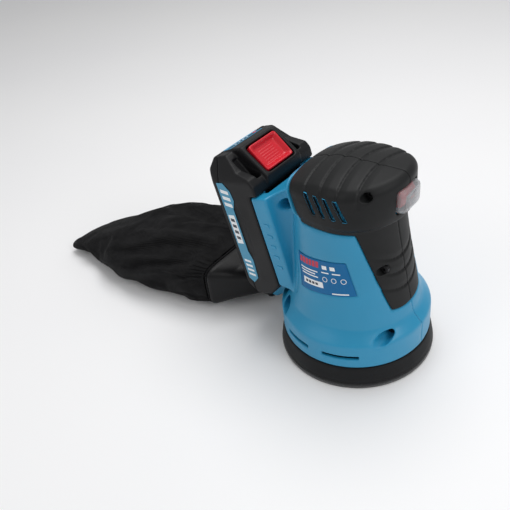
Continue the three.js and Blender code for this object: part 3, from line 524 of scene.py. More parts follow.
def meshed(name, field, grid, material, merge=0.004, matrix=None):
    """The surface where a field is zero, as a smooth shaded object in metres."""
    edge = 3 * grid.step
    field = np.ascontiguousarray(np.clip(np.broadcast_to(field, grid.shape), -edge, edge), np.float32)
    for axis in range(3):
        face = np.moveaxis(field, axis, 0)
        face[0] = face[-1] = edge
    volume = openvdb.FloatGrid(edge)
    volume.copyFromArray(field)
    points, triangles, quads = volume.convertToPolygons(isovalue=0.0, adaptivity=merge)
    cells = np.clip(points.astype(int), 0, np.array(grid.shape) - 2)
    weights = points - cells
    slopes = np.gradient(field)
    normals = np.stack([sampled(slope, cells, weights) for slope in slopes], 1)
    normals /= np.maximum(np.linalg.norm(normals, axis=1, keepdims=True), 1e-6)
    places = (points * grid.step + grid.low) * MM
    obj = mesh_object(name, places, triangles.tolist() + quads.tolist(), material)
    obj.data.polygons.foreach_set("use_smooth", [True] * len(obj.data.polygons))
    obj.data.normals_split_custom_set_from_vertices(normals.tolist())
    if matrix is not None:
        obj.data.transform(matrix)
    return obj


def standing_for(obj, body, slot, *nodes):
    """Puts a finished piece on its body, in place of its CAD nodes."""
    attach(obj, body)
    if nodes:
        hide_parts(*nodes)
    return obj


def smooth(obj, angle=math.radians(35)):
    for polygon in obj.data.polygons:
        polygon.use_smooth = True
    obj.data.set_sharp_from_angle(angle=angle)
    return obj


# ------------------------------------------------------------------ camera, light and floor


CAMERA_PLACE = (0.2172, -0.3252, 0.3835)
CAMERA_TURN = (44.81, 36.83, -8.55)
CAMERA_LENS = 44.82
# Each lamp's name, place and size in metres, and power in watts.
LAMPS = [
    ("top_light", (-0.1, 0.3, 1.1), 0.8, 6.5),
    ("side_light", (0.8, -0.1, 0.7), 0.5, 2.6),
    ("front_light", (-0.4, -0.9, 0.8), 0.7, 1.6),
]
LAMPS_AIM = (-0.08, 0, 0.07)
WORLD_STRENGTH = 0.42
FLOOR_HALF = 6.0


def add_camera():
    """A camera above and to the right of the switch side, set by its place, azimuth, elevation and roll."""
    azimuth, elevation, roll = (math.radians(angle) for angle in CAMERA_TURN)
    back = Vector((math.sin(azimuth) * math.cos(elevation), -math.cos(azimuth) * math.cos(elevation),
                   math.sin(elevation)))
    right = Vector((math.cos(azimuth), math.sin(azimuth), 0))
    up = back.cross(right)
    tilted_right = right * math.cos(roll) + up * math.sin(roll)
    tilted_up = up * math.cos(roll) - right * math.sin(roll)
    camera = bpy.data.cameras.new("camera")
    camera.lens = CAMERA_LENS
    camera.clip_end = 20
    obj = link(bpy.data.objects.new("camera", camera))
    turn = Matrix((tilted_right, tilted_up, back)).transposed()
    obj.matrix_world = Matrix.Translation(CAMERA_PLACE) @ turn.to_4x4()
    bpy.context.scene.camera = obj


def add_area(name, place, size, power):
    lamp = bpy.data.lights.new(name, "AREA")
    lamp.shape = "DISK"
    lamp.size = size
    lamp.energy = power
    obj = link(bpy.data.objects.new(name, lamp))
    obj.location = place
    aim = Vector(LAMPS_AIM) - Vector(place)
    obj.rotation_euler = aim.to_track_quat("-Z", "Y").to_euler()


def add_studio():
    world = bpy.data.worlds.new("studio")
    world.use_nodes = True
    background = world.node_tree.nodes["Background"]
    background.inputs["Color"].default_value = (1, 1, 1, 1)
    background.inputs["Strength"].default_value = WORLD_STRENGTH
    bpy.context.scene.world = world
    bpy.context.scene.view_settings.view_transform = "Standard"
    for name, place, size, power in LAMPS:
        add_area(name, place, size, power)
    floor = Shader("floor", srgb(246, 246, 247), 0.7)
    floor.drive("Base Color", floor.mix(floor.noise(3, 2), srgb(244, 244, 246), srgb(250, 250, 250)))
    corners = [(x * FLOOR_HALF, y * FLOOR_HALF, 0) for x, y in ((-1, -1), (1, -1), (1, 1), (-1, 1))]
    mesh_object("floor", corners, [(0, 1, 2, 3)], floor.material)


# ------------------------------------------------------------------ housing and soft grip

CROWN_LINES = [-18.3, -5.1, 8.1, 22]
CROWN_BOW = 0.0035
CROWN_BAND = 5.6
PANEL_LINES = [74.5, 87.7, 99.8]
PANEL_BOW = 0.012
PANEL_BAND = 4.8
CREASE = [
    (-36.5, 128), (-35, 108), (-33.2, 84), (-31.2, 66), (-28.2, 60.5), (-27, 63), (-28.2, 76), (-30.4, 96),
]


def neck_field(grid):
    return np.maximum(body_field(grid, NECK), grid.z - NECK_TOP_Z)


def head_field(grid, inset=0.0):
    """The head: level sections under a crown that falls off to the sides and the rear."""
    behind = np.minimum(grid.x - CROWN_X, 0)
    crown = grid.z - HEAD_TOP_Z + CROWN_FALL_Y * grid.y ** 2 + CROWN_FALL_REAR * behind ** 2
    walls = round_max(body_field(grid, HEAD), crown.astype(np.float32), CROWN_EDGE_R)
    return round_max(walls, HEAD_BOTTOM_Z - grid.z, 3) + inset


def stepped(distance, width, depth, groove=0.7):
    """How far a surface is sunk beside a line: most at the line, running out over the width."""
    ramp = np.where(distance > 0, np.clip(1 - distance / width, 0, 1), 0)
    line = np.clip(1 - np.abs(distance) / 0.8, 0, 1)
    return depth * ramp + groove * line


def crown_relief(grid):
    """Curved bands across the crown, fading out down the sides of the head."""
    bow = CROWN_BOW * grid.y ** 2
    relief = sum(stepped(grid.x - line - bow, CROWN_BAND, 0.85) for line in CROWN_LINES)
    return relief * np.clip((grid.z - 151) / 7, 0, 1)


def panel_relief(grid):
    """Curved bands across the front of the neck."""
    bow = PANEL_BOW * grid.y ** 2
    relief = sum(stepped(grid.z - line - bow, PANEL_BAND, 0.75) for line in PANEL_LINES)
    fade = np.clip((27 - np.abs(grid.y)) / 10, 0, 1) * np.clip((grid.x - 22) / 6, 0, 1)
    return relief * fade


def mount_frame(grid):
    """Places in the battery's own frame: u towards the body, w up the rails."""
    dx, dz = grid.x - FOOT[0], grid.z - FOOT[1]
    return (math.cos(LEAN) * dx + math.sin(LEAN) * dz, math.cos(LEAN) * dz - math.sin(LEAN) * dx)


def mount_field(grid, u, w):
    side = np.abs(grid.y)
    block = round_max(softened(outline(u, w, MOUNT), 2), side - MOUNT_HALF_WIDTH, 1.2)
    waist = np.hypot(u - WAIST_U, side - MOUNT_HALF_WIDTH - 1) - WAIST_R
    return round_max(block, -waist, 1.2)


def skirt_field(grid, radius):
    slope = (SKIRT_R - SHOULDER_R, SHOULDER_Z - SKIRT_RIDGE_Z)
    cone = ((radius - SKIRT_R) * slope[1] + (grid.z - SKIRT_RIDGE_Z) * slope[0]) / math.hypot(*slope)
    wall = round_max(radius - SKIRT_R, SKIRT_BOTTOM_Z - grid.z, 0.8)
    return np.maximum(round_max(wall, cone, 0.9), grid.z - SHOULDER_Z - 1)


def wells_field(grid, grow=0.0):
    """Screw wells in from the -Y side, with the bores for the shanks."""
    wells = []
    for x, z, seat in SCREWS:
        along = np.hypot(grid.x - x, grid.z - z)
        wells.append(np.maximum(along - WELL_R - grow, grid.y + seat))
        wells.append(np.maximum(along - 1.8, np.abs(grid.y) - SCREW_REACH - 8))
    return np.minimum.reduce(wells)


def well_linings(grid):
    """Sleeves of the soft grip that line the two screw wells under it."""
    tubes = []
    for x, z, seat in SCREWS[:2]:
        along = np.hypot(grid.x - x, grid.z - z)
        tube = np.maximum(along - WELL_R + 0.08, WELL_R - WELL_LINING - along)
        tubes.append(np.maximum(tube, grid.y + seat + 1))
    return np.minimum.reduce(tubes)


def vent_outline(grid):
    """Four leaning slots, seen from the side."""
    slots = [outline(grid.x, grid.z, [(x, 155.5), (x + 2.6, 155.5), (x + 9.3, 141), (x + 6.7, 141)])
             for x in HEAD_VENTS]
    return np.minimum.reduce(slots)


def build_vent_rims():
    """The thin blue rims of the head's vents, a little proud of the grip."""
    for low_y, high_y, name in ((-42, -27, "right"), (27, 42, "left")):
        grid = Grid((-15, low_y, 138.5), (23, high_y, 158), 0.3)
        head, slots = head_field(grid), vent_outline(grid)
        rims = np.maximum(slots - VENT_RIM, VENT_WALL - VENT_RIM - slots)
        rims = round_max(rims, np.maximum(head - 0.3, -(head + 4.5)), 0.12)
        piece = meshed(f"vent_rims_{name}", rims, grid, BLUE, 0.003)
        standing_for(piece, "housing", "housing_blue")


def skirt_vents(grid, radius):
    angle = np.degrees(np.arctan2(grid.y, grid.x))
    slots = [np.radians(np.abs(angle - middle) - half) * radius for middle, half in SKIRT_VENTS]
    slot = np.maximum(np.minimum.reduce(slots), np.abs(grid.z - SKIRT_VENT_Z) - 1.7)
    return np.maximum(slot, SKIRT_R - 6 - radius)


def rail_channel(grid, u, w):
    clear = 0.4
    half = RAIL_HALF_WIDTH + clear
    deep = box_field(u, grid.y, w, (4.2, -half - RAIL_LIP, 6), (9, half + RAIL_LIP, 200))
    return np.minimum(deep, box_field(u, grid.y, w, (-1, -half, 6), (9, half, 200)))


def boot_opening(grid):
    low = (30, -BOOT_HALF_WIDTH - GAP, BOOT_Z - BOOT_HALF_HEIGHT - GAP)
    high = (60, BOOT_HALF_WIDTH + GAP, BOOT_Z + BOOT_HALF_HEIGHT + GAP)
    return box_field(grid.x, grid.y, grid.z, low, high, 3)


def half_of(field, grid, side, r=0.15):
    """The part of a field on one side of the parting plane."""
    return round_max(field, 0.06 - side * grid.y, r)


def build_housing():
    """The two blue halves, hollow, with the battery mount, vents, wells and the seat for the grip."""
    grid = Grid((-68.5, -61, 18.5), (61.5, 61.5, 169), 0.75)
    radius = np.hypot(grid.x, grid.y)
    u, w = mount_frame(grid)
    neck, head = neck_field(grid), head_field(grid)
    core = round_min(np.maximum(neck, 40 - grid.z), head, 2.5)
    cover = np.minimum(outline(grid.x, grid.z, HEAD_COVER), outline(grid.x, grid.z, NECK_PANEL))
    collar = round_max(head - COLLAR_PROUD, outline(grid.x, grid.z, COLLAR), 1)
    outer = round_min(round_min(skirt_field(grid, radius), core, 1.6), mount_field(grid, u, w), 1.5)
    outer = round_min(outer, collar, 1)
    under_grip = np.maximum(core - 1.5, np.maximum(cover - 0.35, -(core + GRIP_THICKNESS + GAP)))
    outer = np.maximum(outer, -under_grip)
    inside = round_max(core + WALL, CHAMBER_TOP_Z + 4 - grid.z, 2)
    inside = np.minimum(inside, box_field(u, grid.y, w, (12, -18, 8), (38, 18, MOUNT_LENGTH - 6)))
    bosses = np.minimum.reduce([np.hypot(grid.x - x, grid.z - z) - BOSS_R for x, z, _ in SCREWS])
    shell = np.minimum(np.maximum(outer, -inside), np.maximum(bosses, outer + 0.5))
    chamber = round_max(radius - SKIRT_R + SKIRT_WALL, grid.z - CHAMBER_TOP_Z + 1, 3)
    shell = np.maximum(shell, -chamber)
    shell = np.maximum(shell, -np.maximum(vent_outline(grid) - 0.1, 28 - np.abs(grid.y)))
    label = np.maximum(outline(grid.x, grid.z, LABEL) - 0.3, -(neck + 0.7))
    shell = round_max(shell, -wells_field(grid), 0.5)
    cuts = [rail_channel(grid, u, w), boot_opening(grid),
            np.maximum(label, grid.y + 20),
            box_field(grid.x, grid.y, grid.z, (-70, -13.3, 20.7), (-40, 13.3, 35.3), 3),
            box_field(u, grid.y, w, (-60, -40, -13.5), (-GAP, 40, 4), 1)]
    for cut in cuts:
        shell = np.maximum(shell, -cut)
    crease = np.maximum(line_field(grid.x, grid.z, CREASE) - 0.55, -(core + 0.9))
    crease = np.maximum(crease, 15 - np.abs(grid.y))
    shell = np.maximum(softened(shell, 1), np.maximum(-skirt_vents(grid, radius), -crease))
    for side, name in ((-1, "right"), (1, "left")):
        piece = meshed(f"housing_{name}_shell", half_of(shell, grid, side), grid, BLUE)
        standing_for(piece, "housing", "housing_blue", f"housing_{name}")


def build_grip():
    """The two soft covers over the head and the front of the neck, with their grooved bands."""
    grid = Grid((-39.5, -42, 58), (55, 42.5, 169.5), 0.6)
    head = head_field(grid)
    neck = neck_field(grid)
    core = round_min(neck, head, 2.5)
    skin = round_min(neck + panel_relief(grid), head + crown_relief(grid), 3.5)
    cover = np.minimum(outline(grid.x, grid.z, HEAD_COVER), outline(grid.x, grid.z, NECK_PANEL))
    sleeve = round_max(skin, softened(cover, 1), 0.6)
    sleeve = np.maximum(sleeve, -(core + GRIP_THICKNESS))
    sleeve = round_max(sleeve, -wells_field(grid, -WELL_LINING), 0.7)
    vents = np.maximum(vent_outline(grid) - 0.1, 28 - np.abs(grid.y))
    sleeve = np.maximum(np.maximum(sleeve, -vents), -boot_opening(grid))
    sleeve = np.minimum(softened(sleeve, 1), np.maximum(well_linings(grid), core + 0.5))
    for side, name in ((-1, "right"), (1, "left")):
        piece = meshed(f"grip_{name}_cover", half_of(sleeve, grid, side, 0.5), grid, RUBBER)
        standing_for(piece, "housing", "soft_grip", f"grip_{name}")


# ------------------------------------------------------------------ labels


def neck_side(x, z):
    """The neck's -Y surface at a side place, in millimetres."""
    rear, front, half, rear_n, front_n = stations_at(NECK, z)
    middle = (rear + front) / 2
    n = np.where(x > middle, front_n, rear_n)
    share = np.clip(np.abs(x - middle) / ((front - rear) / 2), 0, 1)
    return -half * (1 - share ** n) ** (1 / n)


def label_place(s, t):
    """A place on the rating label, from shares across and down it, as x and z."""
    lower_left, lower_right, upper_right, upper_left = (np.array(corner, float) for corner in LABEL)
    s, t = np.asarray(s)[..., None], np.asarray(t)[..., None]
    upper = upper_left + (upper_right - upper_left) * s
    lower = lower_left + (lower_right - lower_left) * s
    return upper + (lower - upper) * t


def label_patch(s0, s1, t0, t1, lift, slant=0.0, steps=6):
    """A patch of the label's surface between shares across and down, raised by lift."""
    s, t = np.meshgrid(np.linspace(s0, s1, steps), np.linspace(t0, t1, steps), indexing="ij")
    place = label_place(s + slant * (t1 - t), t)
    x, z = place[..., 0], place[..., 1]
    points = np.stack([x, neck_side(x, z) - lift, z], -1).reshape(-1, 3) * MM
    faces = [(i * steps + j, i * steps + j + 1, (i + 1) * steps + j + 1, (i + 1) * steps + j)
             for i in range(steps - 1) for j in range(steps - 1)]
    return points, faces


def label_ring(s, t, radius, lift, width=0.45, steps=20):
    """A small printed ring on the label, radius and width in millimetres."""
    centre = label_place(s, t)
    points, faces = [], []
    for i in range(steps):
        angle = 2 * math.pi * i / steps
        for r in (radius - width, radius):
            x, z = centre[0] + r * math.cos(angle), centre[1] + r * math.sin(angle)
            points.append((x * MM, (float(neck_side(np.array(x), np.array(z))) - lift) * MM, z * MM))
        j = (i + 1) % steps
        faces.append((2 * i, 2 * i + 1, 2 * j + 1, 2 * j))
    return points, faces


def joined(name, parts, material):
    points, faces = [], []
    for part_points, part_faces in parts:
        start = len(points)
        points.extend(tuple(point) for point in part_points)
        faces.extend(tuple(corner + start for corner in face) for face in part_faces)
    return mesh_object(name, points, faces, material)


def thicken(obj, thickness, offset):
    made = obj.modifiers.new("thickness", "SOLIDIFY")
    made.thickness = thickness
    made.offset = offset
    return obj


LABEL_FILM = 0.45
INK_LIFT = 0.13
BAR_WIDTH = 0.035


def build_rating_label():
    """A printed film on the neck, with blocks and bars where a rating plate has its text."""
    plate = joined("rating_plate", [label_patch(0, 1, 0, 1, 0.05, steps=30)], LABEL_BLUE)
    thicken(plate, LABEL_FILM * MM, -1)
    standing_for(smooth(plate), "housing", "label_blue", "rating_label")
    lift = INK_LIFT
    bars = [
        (0.05, 0.44, 0.36), (0.06, 0.38, 0.44), (0.07, 0.43, 0.52), (0.52, 0.66, 0.33), (0.72, 0.86, 0.33),
        (0.64, 0.9, 0.93),
    ]
    white = [label_patch(s0, s1, t, t + BAR_WIDTH, lift) for s0, s1, t in bars]
    white += [label_patch(0.09, 0.5, 0.66, 0.83, lift)]
    white += [label_ring(s, 0.55, 2.1, lift) for s in (0.56, 0.72, 0.88)]
    white += [label_patch(s, s + 0.09, 0.14, 0.25, lift, 0.03) for s in (0.55, 0.7)]
    standing_for(joined("rating_marks_white", white, INK_WHITE), "housing", "label_blue")
    red = [label_patch(0.04 + 0.075 * i, 0.1 + 0.075 * i, 0.06, 0.24, lift, 0.12) for i in range(6)]
    standing_for(joined("rating_marks_red", red, INK_RED), "housing", "label_blue")
    dark = [label_patch(0.14 + 0.07 * i, 0.19 + 0.07 * i, 0.71, 0.78, lift + 0.08) for i in range(4)]
    standing_for(joined("rating_marks_dark", dark, INK_DARK), "housing", "label_blue")


# ------------------------------------------------------------------ switch


BOOT_FRONT_X = 49.2
BOOT_REAR_X = 40.1
BOOT_WALL = 1.2
# Stations of the boot: x, half width, half height and squareness.
BOOT = [(38, 12.5, 9, 5.5), (45, 12.5, 9, 5.2), (47.6, 11.2, 8.1, 5), (BOOT_FRONT_X, 7.6, 5.6, 4)]
ROCKER_PROFILE = [(-2.5, -3.5), (6, -5.3), (7.6, 1.1), (6.4, 7.1), (3.5, 7.1), (2.3, 4), (-2.5, 2)]
ROCKER_HALF_WIDTH = 9


def build_boot():
    """The milky clear boot over the switch."""
    grid = Grid((38.5, -14, 138.5), (51, 14.2, 160), 0.35)
    half, high, n = stations_at(BOOT, grid.x, 1.2)
    outer = round_max(oval(grid.y, grid.z - BOOT_Z, half, high, n), grid.x - BOOT_FRONT_X, 2.2)
    shell = np.maximum(np.maximum(outer, -(outer + BOOT_WALL)), BOOT_REAR_X - grid.x)
    boot = meshed("switch_boot_shell", softened(shell, 1), grid, CLEAR, 0.002)
    standing_for(boot, "housing", "clear_boot", "switch_boot")


def build_rocker():
    """The red rocker under the boot, with a ribbed face."""
    grid = Grid((33, -9.8, 140), (46.5, 10, 158), 0.3)
    dx, dz = grid.x - ROCKER_PIVOT[0], grid.z - ROCKER_PIVOT[1]
    u = math.cos(ROCKER_TILT) * dx + math.sin(ROCKER_TILT) * dz
    w = math.cos(ROCKER_TILT) * dz - math.sin(ROCKER_TILT) * dx
    body = softened(outline(u, w, ROCKER_PROFILE), 3)
    body = round_max(body, np.abs(grid.y) - ROCKER_HALF_WIDTH, 0.8)
    ribs = 0.35 * np.clip(np.cos(w * 2 * math.pi / 2.4), 0, 1) * (u > 4) * (np.abs(grid.y) < 6)
    rocker = meshed("rocker_key", softened(body + ribs, 1), grid, RED, 0.002)
    standing_for(rocker, "rocker", "switch_red", "switch_rocker")


# ------------------------------------------------------------------ pad


def build_pad():
    """The foam pad with its dust holes, and the hook disc under it."""
    grid = Grid((-64, -64, -1.5), (64.2, 64.2, 21), 0.7)
    radius = np.hypot(grid.x, grid.y)
    angles = [2 * math.pi * (i + 0.5) / DUST_HOLES for i in range(DUST_HOLES)]
    holes = np.minimum.reduce([
        np.hypot(grid.x - DUST_HOLE_CIRCLE_R * math.cos(angle), grid.y - DUST_HOLE_CIRCLE_R * math.sin(angle))
        for angle in angles]) - DUST_HOLE_R
    lean = (grid.z - 6) * (PAD_R - 0.5 - PAD_TOP_R) / (PAD_TOP_Z - 7)
    waist = 0.35 * np.exp(-((grid.z - 6.6) / 0.8) ** 2)
    side = radius - PAD_R + 0.5 + np.maximum(lean, 0) + waist
    foam = round_max(side, np.maximum(grid.z - PAD_TOP_Z, HOOK_TOP_Z + 0.1 - grid.z), 0.9)
    well = round_max(radius - PLATE_R - GAP, PLATE_BOTTOM_Z - GAP - grid.z, 0.5)
    foam = round_max(np.maximum(foam, -well), -holes, 0.5)
    piece = meshed("pad_foam_body", softened(foam, 1), grid, FOAM, 0.003)
    standing_for(piece, "pad", "pad_rubber", "pad_foam")
    fringe = 0.12 * np.sin(np.arctan2(grid.y, grid.x) * 190)
    disc = round_max(radius - PAD_R + 0.05 + fringe, np.abs(grid.z - HOOK_TOP_Z / 2) - HOOK_TOP_Z / 2, 0.9)
    disc = round_max(disc, -holes, 0.3)
    piece = meshed("hook_face", softened(disc, 1), grid, HOOKS, 0.003)
    standing_for(piece, "pad", "hook_pile", "hook_disc")


# ------------------------------------------------------------------ battery pack

PACK_MATRIX = (Matrix.Translation((FOOT[0] * MM, 0, FOOT[1] * MM)) @ Matrix.Rotation(-LEAN, 4, "Y"))
RELEASE_TILT = math.atan2(RELEASE_TOP[1] - RELEASE_FOOT[1], RELEASE_FOOT[0] - RELEASE_TOP[0])
RELEASE_RIM = 2.1
RELEASE_CLEARANCE = 0.5
SPRING_R = 3.2
SPRING_WIRE_R = 0.5
SPRING_FOOT = -13.6
SPRING_LENGTH = 9.1
DISH_SLOPE = 0.75
RELEASE_MIDDLE = ((RELEASE_TOP[0] + RELEASE_FOOT[0]) / 2, (RELEASE_TOP[1] + RELEASE_FOOT[1]) / 2)
RELEASE_MATRIX = (PACK_MATRIX @ Matrix.Translation((RELEASE_MIDDLE[0] * MM, 0, RELEASE_MIDDLE[1] * MM))
                  @ Matrix.Rotation(RELEASE_TILT, 4, "Y"))
GAUGE_MATRIX = (PACK_MATRIX @ Matrix.Translation((GAUGE_MIDDLE[0] * MM, 0, GAUGE_MIDDLE[1] * MM))
                @ Matrix.Rotation(-GAUGE_TILT, 4, "Y"))


def turned_about(a, c, middle, tilt):
    """Places in a frame turned about +Y by tilt, as distances down its +x and out of its +z."""
    da, dc = a - middle[0], c - middle[1]
    return (math.cos(tilt) * da - math.sin(tilt) * dc, math.sin(tilt) * da + math.cos(tilt) * dc)


def pack_field(grid):
    """The outer shape of the pack: a middle frame for the button between lower shoulders."""
    side = np.abs(grid.y)
    middle = round_max(softened(outline(grid.x, grid.z, PACK_MIDDLE), 2), side - PACK_FRAME_HALF_WIDTH, 1.2)
    sides = round_max(softened(outline(grid.x, grid.z, PACK_SIDES), 2), side - PACK_HALF_WIDTH, 1.6)
    across = softened(outline(grid.y, grid.z, PACK_ACROSS), 2)
    corners = (side - grid.x - PACK_HALF_WIDTH - PACK_DEPTH + 3.2) / math.sqrt(2)
    block = round_max(round_min(middle, sides, 0.6), across, 0.9)
    return round_max(block, corners, 1.5)


def build_pack_case():
    """The pack's back and front cases, with finger pockets beside the button and the guide rails."""
    grid = Grid((-40.5, -38.5, -14), (10.5, 39, 115.5), 0.6)
    side = np.abs(grid.y)
    s, n = turned_about(grid.x, grid.z, RELEASE_MIDDLE, RELEASE_TILT)
    half_s, half_y = (half + RELEASE_CLEARANCE for half in RELEASE_HALF)
    button = box_field(s, grid.y, n, (-half_s, -half_y, -14), (half_s, half_y, 30), 3)
    pockets = box_field(s, side, n, (-12, 21.3, -11), (11, 27, 30), 0.8)
    bay = np.maximum(outline(grid.x, grid.z, CELL_BAY), side - CELL_BAY_HALF_WIDTH)
    step = np.maximum(softened(outline(grid.x, grid.z, SIDE_STEP), 1), PACK_HALF_WIDTH - 0.9 - side)
    strip = np.maximum(outline(grid.x, grid.z, STRIP_LABEL) - 0.25, PACK_HALF_WIDTH - 0.7 - side)
    g, h = turned_about(grid.x, grid.z, GAUGE_MIDDLE, -GAUGE_TILT)
    half_g, half_y = (half + GAP for half in GAUGE_HALF)
    gauge = box_field(g, grid.y, h, (-half_g, -half_y, -1.3), (half_g, half_y, 4), 0.5)
    shell = pack_field(grid)
    for cut in (button, pockets, gauge):
        shell = round_max(shell, -cut, 0.6)
    for cut in (bay, step, strip):
        shell = np.maximum(shell, -cut)
    seam = PACK_SPLIT_U
    back = softened(round_max(shell, grid.x - seam + 0.15, 0.4), 1)
    piece = meshed("pack_back_case", back, grid, BLACK, matrix=PACK_MATRIX)
    standing_for(piece, "battery", "pack_black", "battery_case_outer")

    front = np.maximum(round_max(shell, seam + 0.15 - grid.x, 0.4),
                       np.minimum(grid.x + GAP, MOUNT_LENGTH + 0.6 - grid.z))
    half = RAIL_HALF_WIDTH
    rail = box_field(grid.x, grid.y, grid.z, (-3, -half, 8), (RAIL_DEPTH, half, 76), 0.4)
    lip = box_field(grid.x, grid.y, grid.z, (5, -half - RAIL_LIP, 8), (RAIL_DEPTH, half + RAIL_LIP, 76), 0.4)
    slots = box_field(grid.x, side, grid.z, (-1, 10.8, 7.5), (6.6, 13.2, 26))
    front = np.maximum(np.minimum(front, np.minimum(rail, lip)), -slots)
    piece = meshed("pack_front_case", softened(front, 1), grid, BLACK, matrix=PACK_MATRIX)
    standing_for(piece, "battery", "pack_black", "battery_case_inner")


def flat_plate(name, points, thickness, matrix, material, bevel=0.12):
    """A thin plate of an outline in its own x-y plane, raised along +z, with eased edges."""
    maker = bmesh.new()
    face = maker.faces.new([maker.verts.new((x * MM, y * MM, 0)) for x, y in points])
    if face.normal.z < 0:
        face.normal_flip()
    top = bmesh.ops.extrude_face_region(maker, geom=[face])["geom"]
    raised = [corner for corner in top if isinstance(corner, bmesh.types.BMVert)]
    bmesh.ops.translate(maker, vec=(0, 0, thickness * MM), verts=raised)
    bmesh.ops.recalc_face_normals(maker, faces=maker.faces)
    mesh = bpy.data.meshes.new(name)
    maker.to_mesh(mesh)
    maker.free()
    mesh.materials.append(material)
    mesh.transform(matrix)
    obj = link(bpy.data.objects.new(name, mesh))
    edge = obj.modifiers.new("edge", "BEVEL")
    edge.width = bevel * MM
    edge.segments = 2
    edge.limit_method = "ANGLE"
    return smooth(obj)


def side_matrix(side, reach):
    """A plane beside the pack, reach from its middle: x towards the body and y up the rails."""
    turn = Matrix(((1, 0, 0, 0), (0, 0, -1, 0), (0, 1, 0, 0), (0, 0, 0, 1)))
    place = Matrix.Translation((0, side * reach * MM, 0))
    if side > 0:
        turn = Matrix(((1, 0, 0, 0), (0, 0, 1, 0), (0, 1, 0, 0), (0, 0, 0, 1)))
    return PACK_MATRIX @ place @ turn


def slanted(x0, x1, y0, y1, slant=0.0):
    return [(x0, y0 + slant), (x1, y0), (x1, y1), (x0, y1 + slant)]


INK_FILM = 0.08
INK_EDGE = 0.02


def build_pack_labels():
    """A strip label on each side wall, with plain blocks where the rating is printed."""
    white = [slanted(-29.4, -21.6, 81 - 5.6 * i, 84 - 5.6 * i, 1.8) for i in range(3)]
    white += [slanted(-30, -23.6, 37, 63)]
    white += [slanted(-29.4, -22.6, 5.5 + 4.4 * i, 7.6 + 4.4 * i, 1.2) for i in range(4)]
    dark = [slanted(-28.8, -24.8, 40.5 + 5.4 * i, 43.2 + 5.4 * i, 0.8) for i in range(4)]
    for side, name in ((-1, "right"), (1, "left")):
        seat = side_matrix(side, PACK_HALF_WIDTH - 0.4)
        plate = flat_plate(f"strip_label_{name}", STRIP_LABEL, LABEL_FILM, seat, STRIP_BLUE)
        standing_for(plate, "battery", "pack_label", f"battery_label_{name}")
        for kind, marks, lift, ink in (("marks", white, 0.06, INK_WHITE), ("blocks", dark, 0.12, INK_DARK)):
            raised = side_matrix(side, PACK_HALF_WIDTH + lift)
            prints = [flat_plate("print", mark, INK_FILM, raised, ink, INK_EDGE) for mark in marks]
            standing_for(merge(prints, f"strip_{kind}_{name}"), "battery", "pack_label")


def build_mount_marks():
    """Small raised marks down each side of the battery mount."""
    outlines = [slanted(5.6, 10.4, 17 + 9.4 * i, 19.6 + 9.4 * i, 0.8) for i in range(5)]
    for side, name in ((-1, "right"), (1, "left")):
        wall = side_matrix(side, MOUNT_HALF_WIDTH - 0.05)
        marks = [flat_plate("mark", points, LABEL_FILM, wall, BLUE, 0.15) for points in outlines]
        standing_for(merge(marks, f"mount_marks_{name}"), "housing", "housing_blue")


def merge(parts, name):
    """Joins plates into the first one, with their modifiers applied."""
    for obj in parts:
        graph = bpy.context.evaluated_depsgraph_get()
        mesh = bpy.data.meshes.new_from_object(obj.evaluated_get(graph))
        obj.modifiers.clear()
        obj.data = mesh
    first = parts[0]
    with bpy.context.temp_override(active_object=first, selected_editable_objects=parts):
        bpy.ops.object.join()
    first.name = name
    return first


def gauge_level(lift):
    """The plane of the gauge's face, raised by some millimetres."""
    return GAUGE_MATRIX @ Matrix.Translation((0, 0, lift * MM))


def build_gauge():
    """The charge gauge: a blue film with a dark window of bars, and a red check button."""
    x, y = GAUGE_HALF
    plate = flat_plate("gauge_plate", slanted(-x, x, -y, y), 0.9, gauge_level(-0.9), GAUGE_BLUE, 0.3)
    standing_for(plate, "battery", "pack_label", "gauge_panel")
    glass = slanted(0.4, x - 0.4, -y + 1, y - 1)
    window = flat_plate("gauge_window", glass, 0.1, gauge_level(0.02), BLACK, INK_EDGE)
    standing_for(window, "battery", "pack_label")
    outlines = [slanted(1.4, 3.8, -12 + 4.6 * i, -10.4 + 4.6 * i, 0.6) for i in range(4)]
    bars = [flat_plate("bar", points, 0.1, gauge_level(0.12), INK_WHITE, INK_EDGE) for points in outlines]
    standing_for(merge(bars, "gauge_bars"), "battery", "pack_label")
    around = [2 * math.pi * i / 32 for i in range(32)]
    key_x, key_y = GAUGE_KEY
    disc = [(key_x + GAUGE_KEY_R * math.cos(a), key_y + GAUGE_KEY_R * math.sin(a)) for a in around]
    key = flat_plate("gauge_key", disc, 1, gauge_level(-0.55), RED, 0.3)
    standing_for(key, "gauge_key", "switch_red", "gauge_button")


def build_release():
    """The red release button: a deep dish with a raised rim and fine ribs across its floor."""
    half_x, half_y = RELEASE_HALF
    grid = Grid((-half_x - 2, -half_y - 2, -5.5), (half_x + 2.2, half_y + 2.2, 4), 0.36)
    body = box_field(grid.x, grid.y, grid.z, (-half_x, -half_y, -4), (half_x, half_y, 1.2), 1.0)
    corner = box_field(grid.x, grid.y, 0 * grid.z, (-half_x, -half_y, -1), (half_x, half_y, 1), 3)
    body = round_max(body, corner, 0.6)
    reach_x = np.abs(grid.x) - half_x + RELEASE_RIM - DISH_SLOPE * (grid.z - 1.2)
    reach_y = np.abs(grid.y) - half_y + RELEASE_RIM - DISH_SLOPE * (grid.z - 1.2)
    ribs = 0.25 * np.clip(np.cos(grid.x * 2 * math.pi / 2.2), 0, 1) * (np.abs(grid.y) < 8)
    dish = round_max(round_max(reach_x, reach_y, 2), ribs - 2.3 - grid.z, 0.8)
    button = meshed("release_key", softened(round_max(body, -dish, 0.5), 1), grid, RED, 0.002, RELEASE_MATRIX)
    standing_for(button, "release", "switch_red", "release_button")


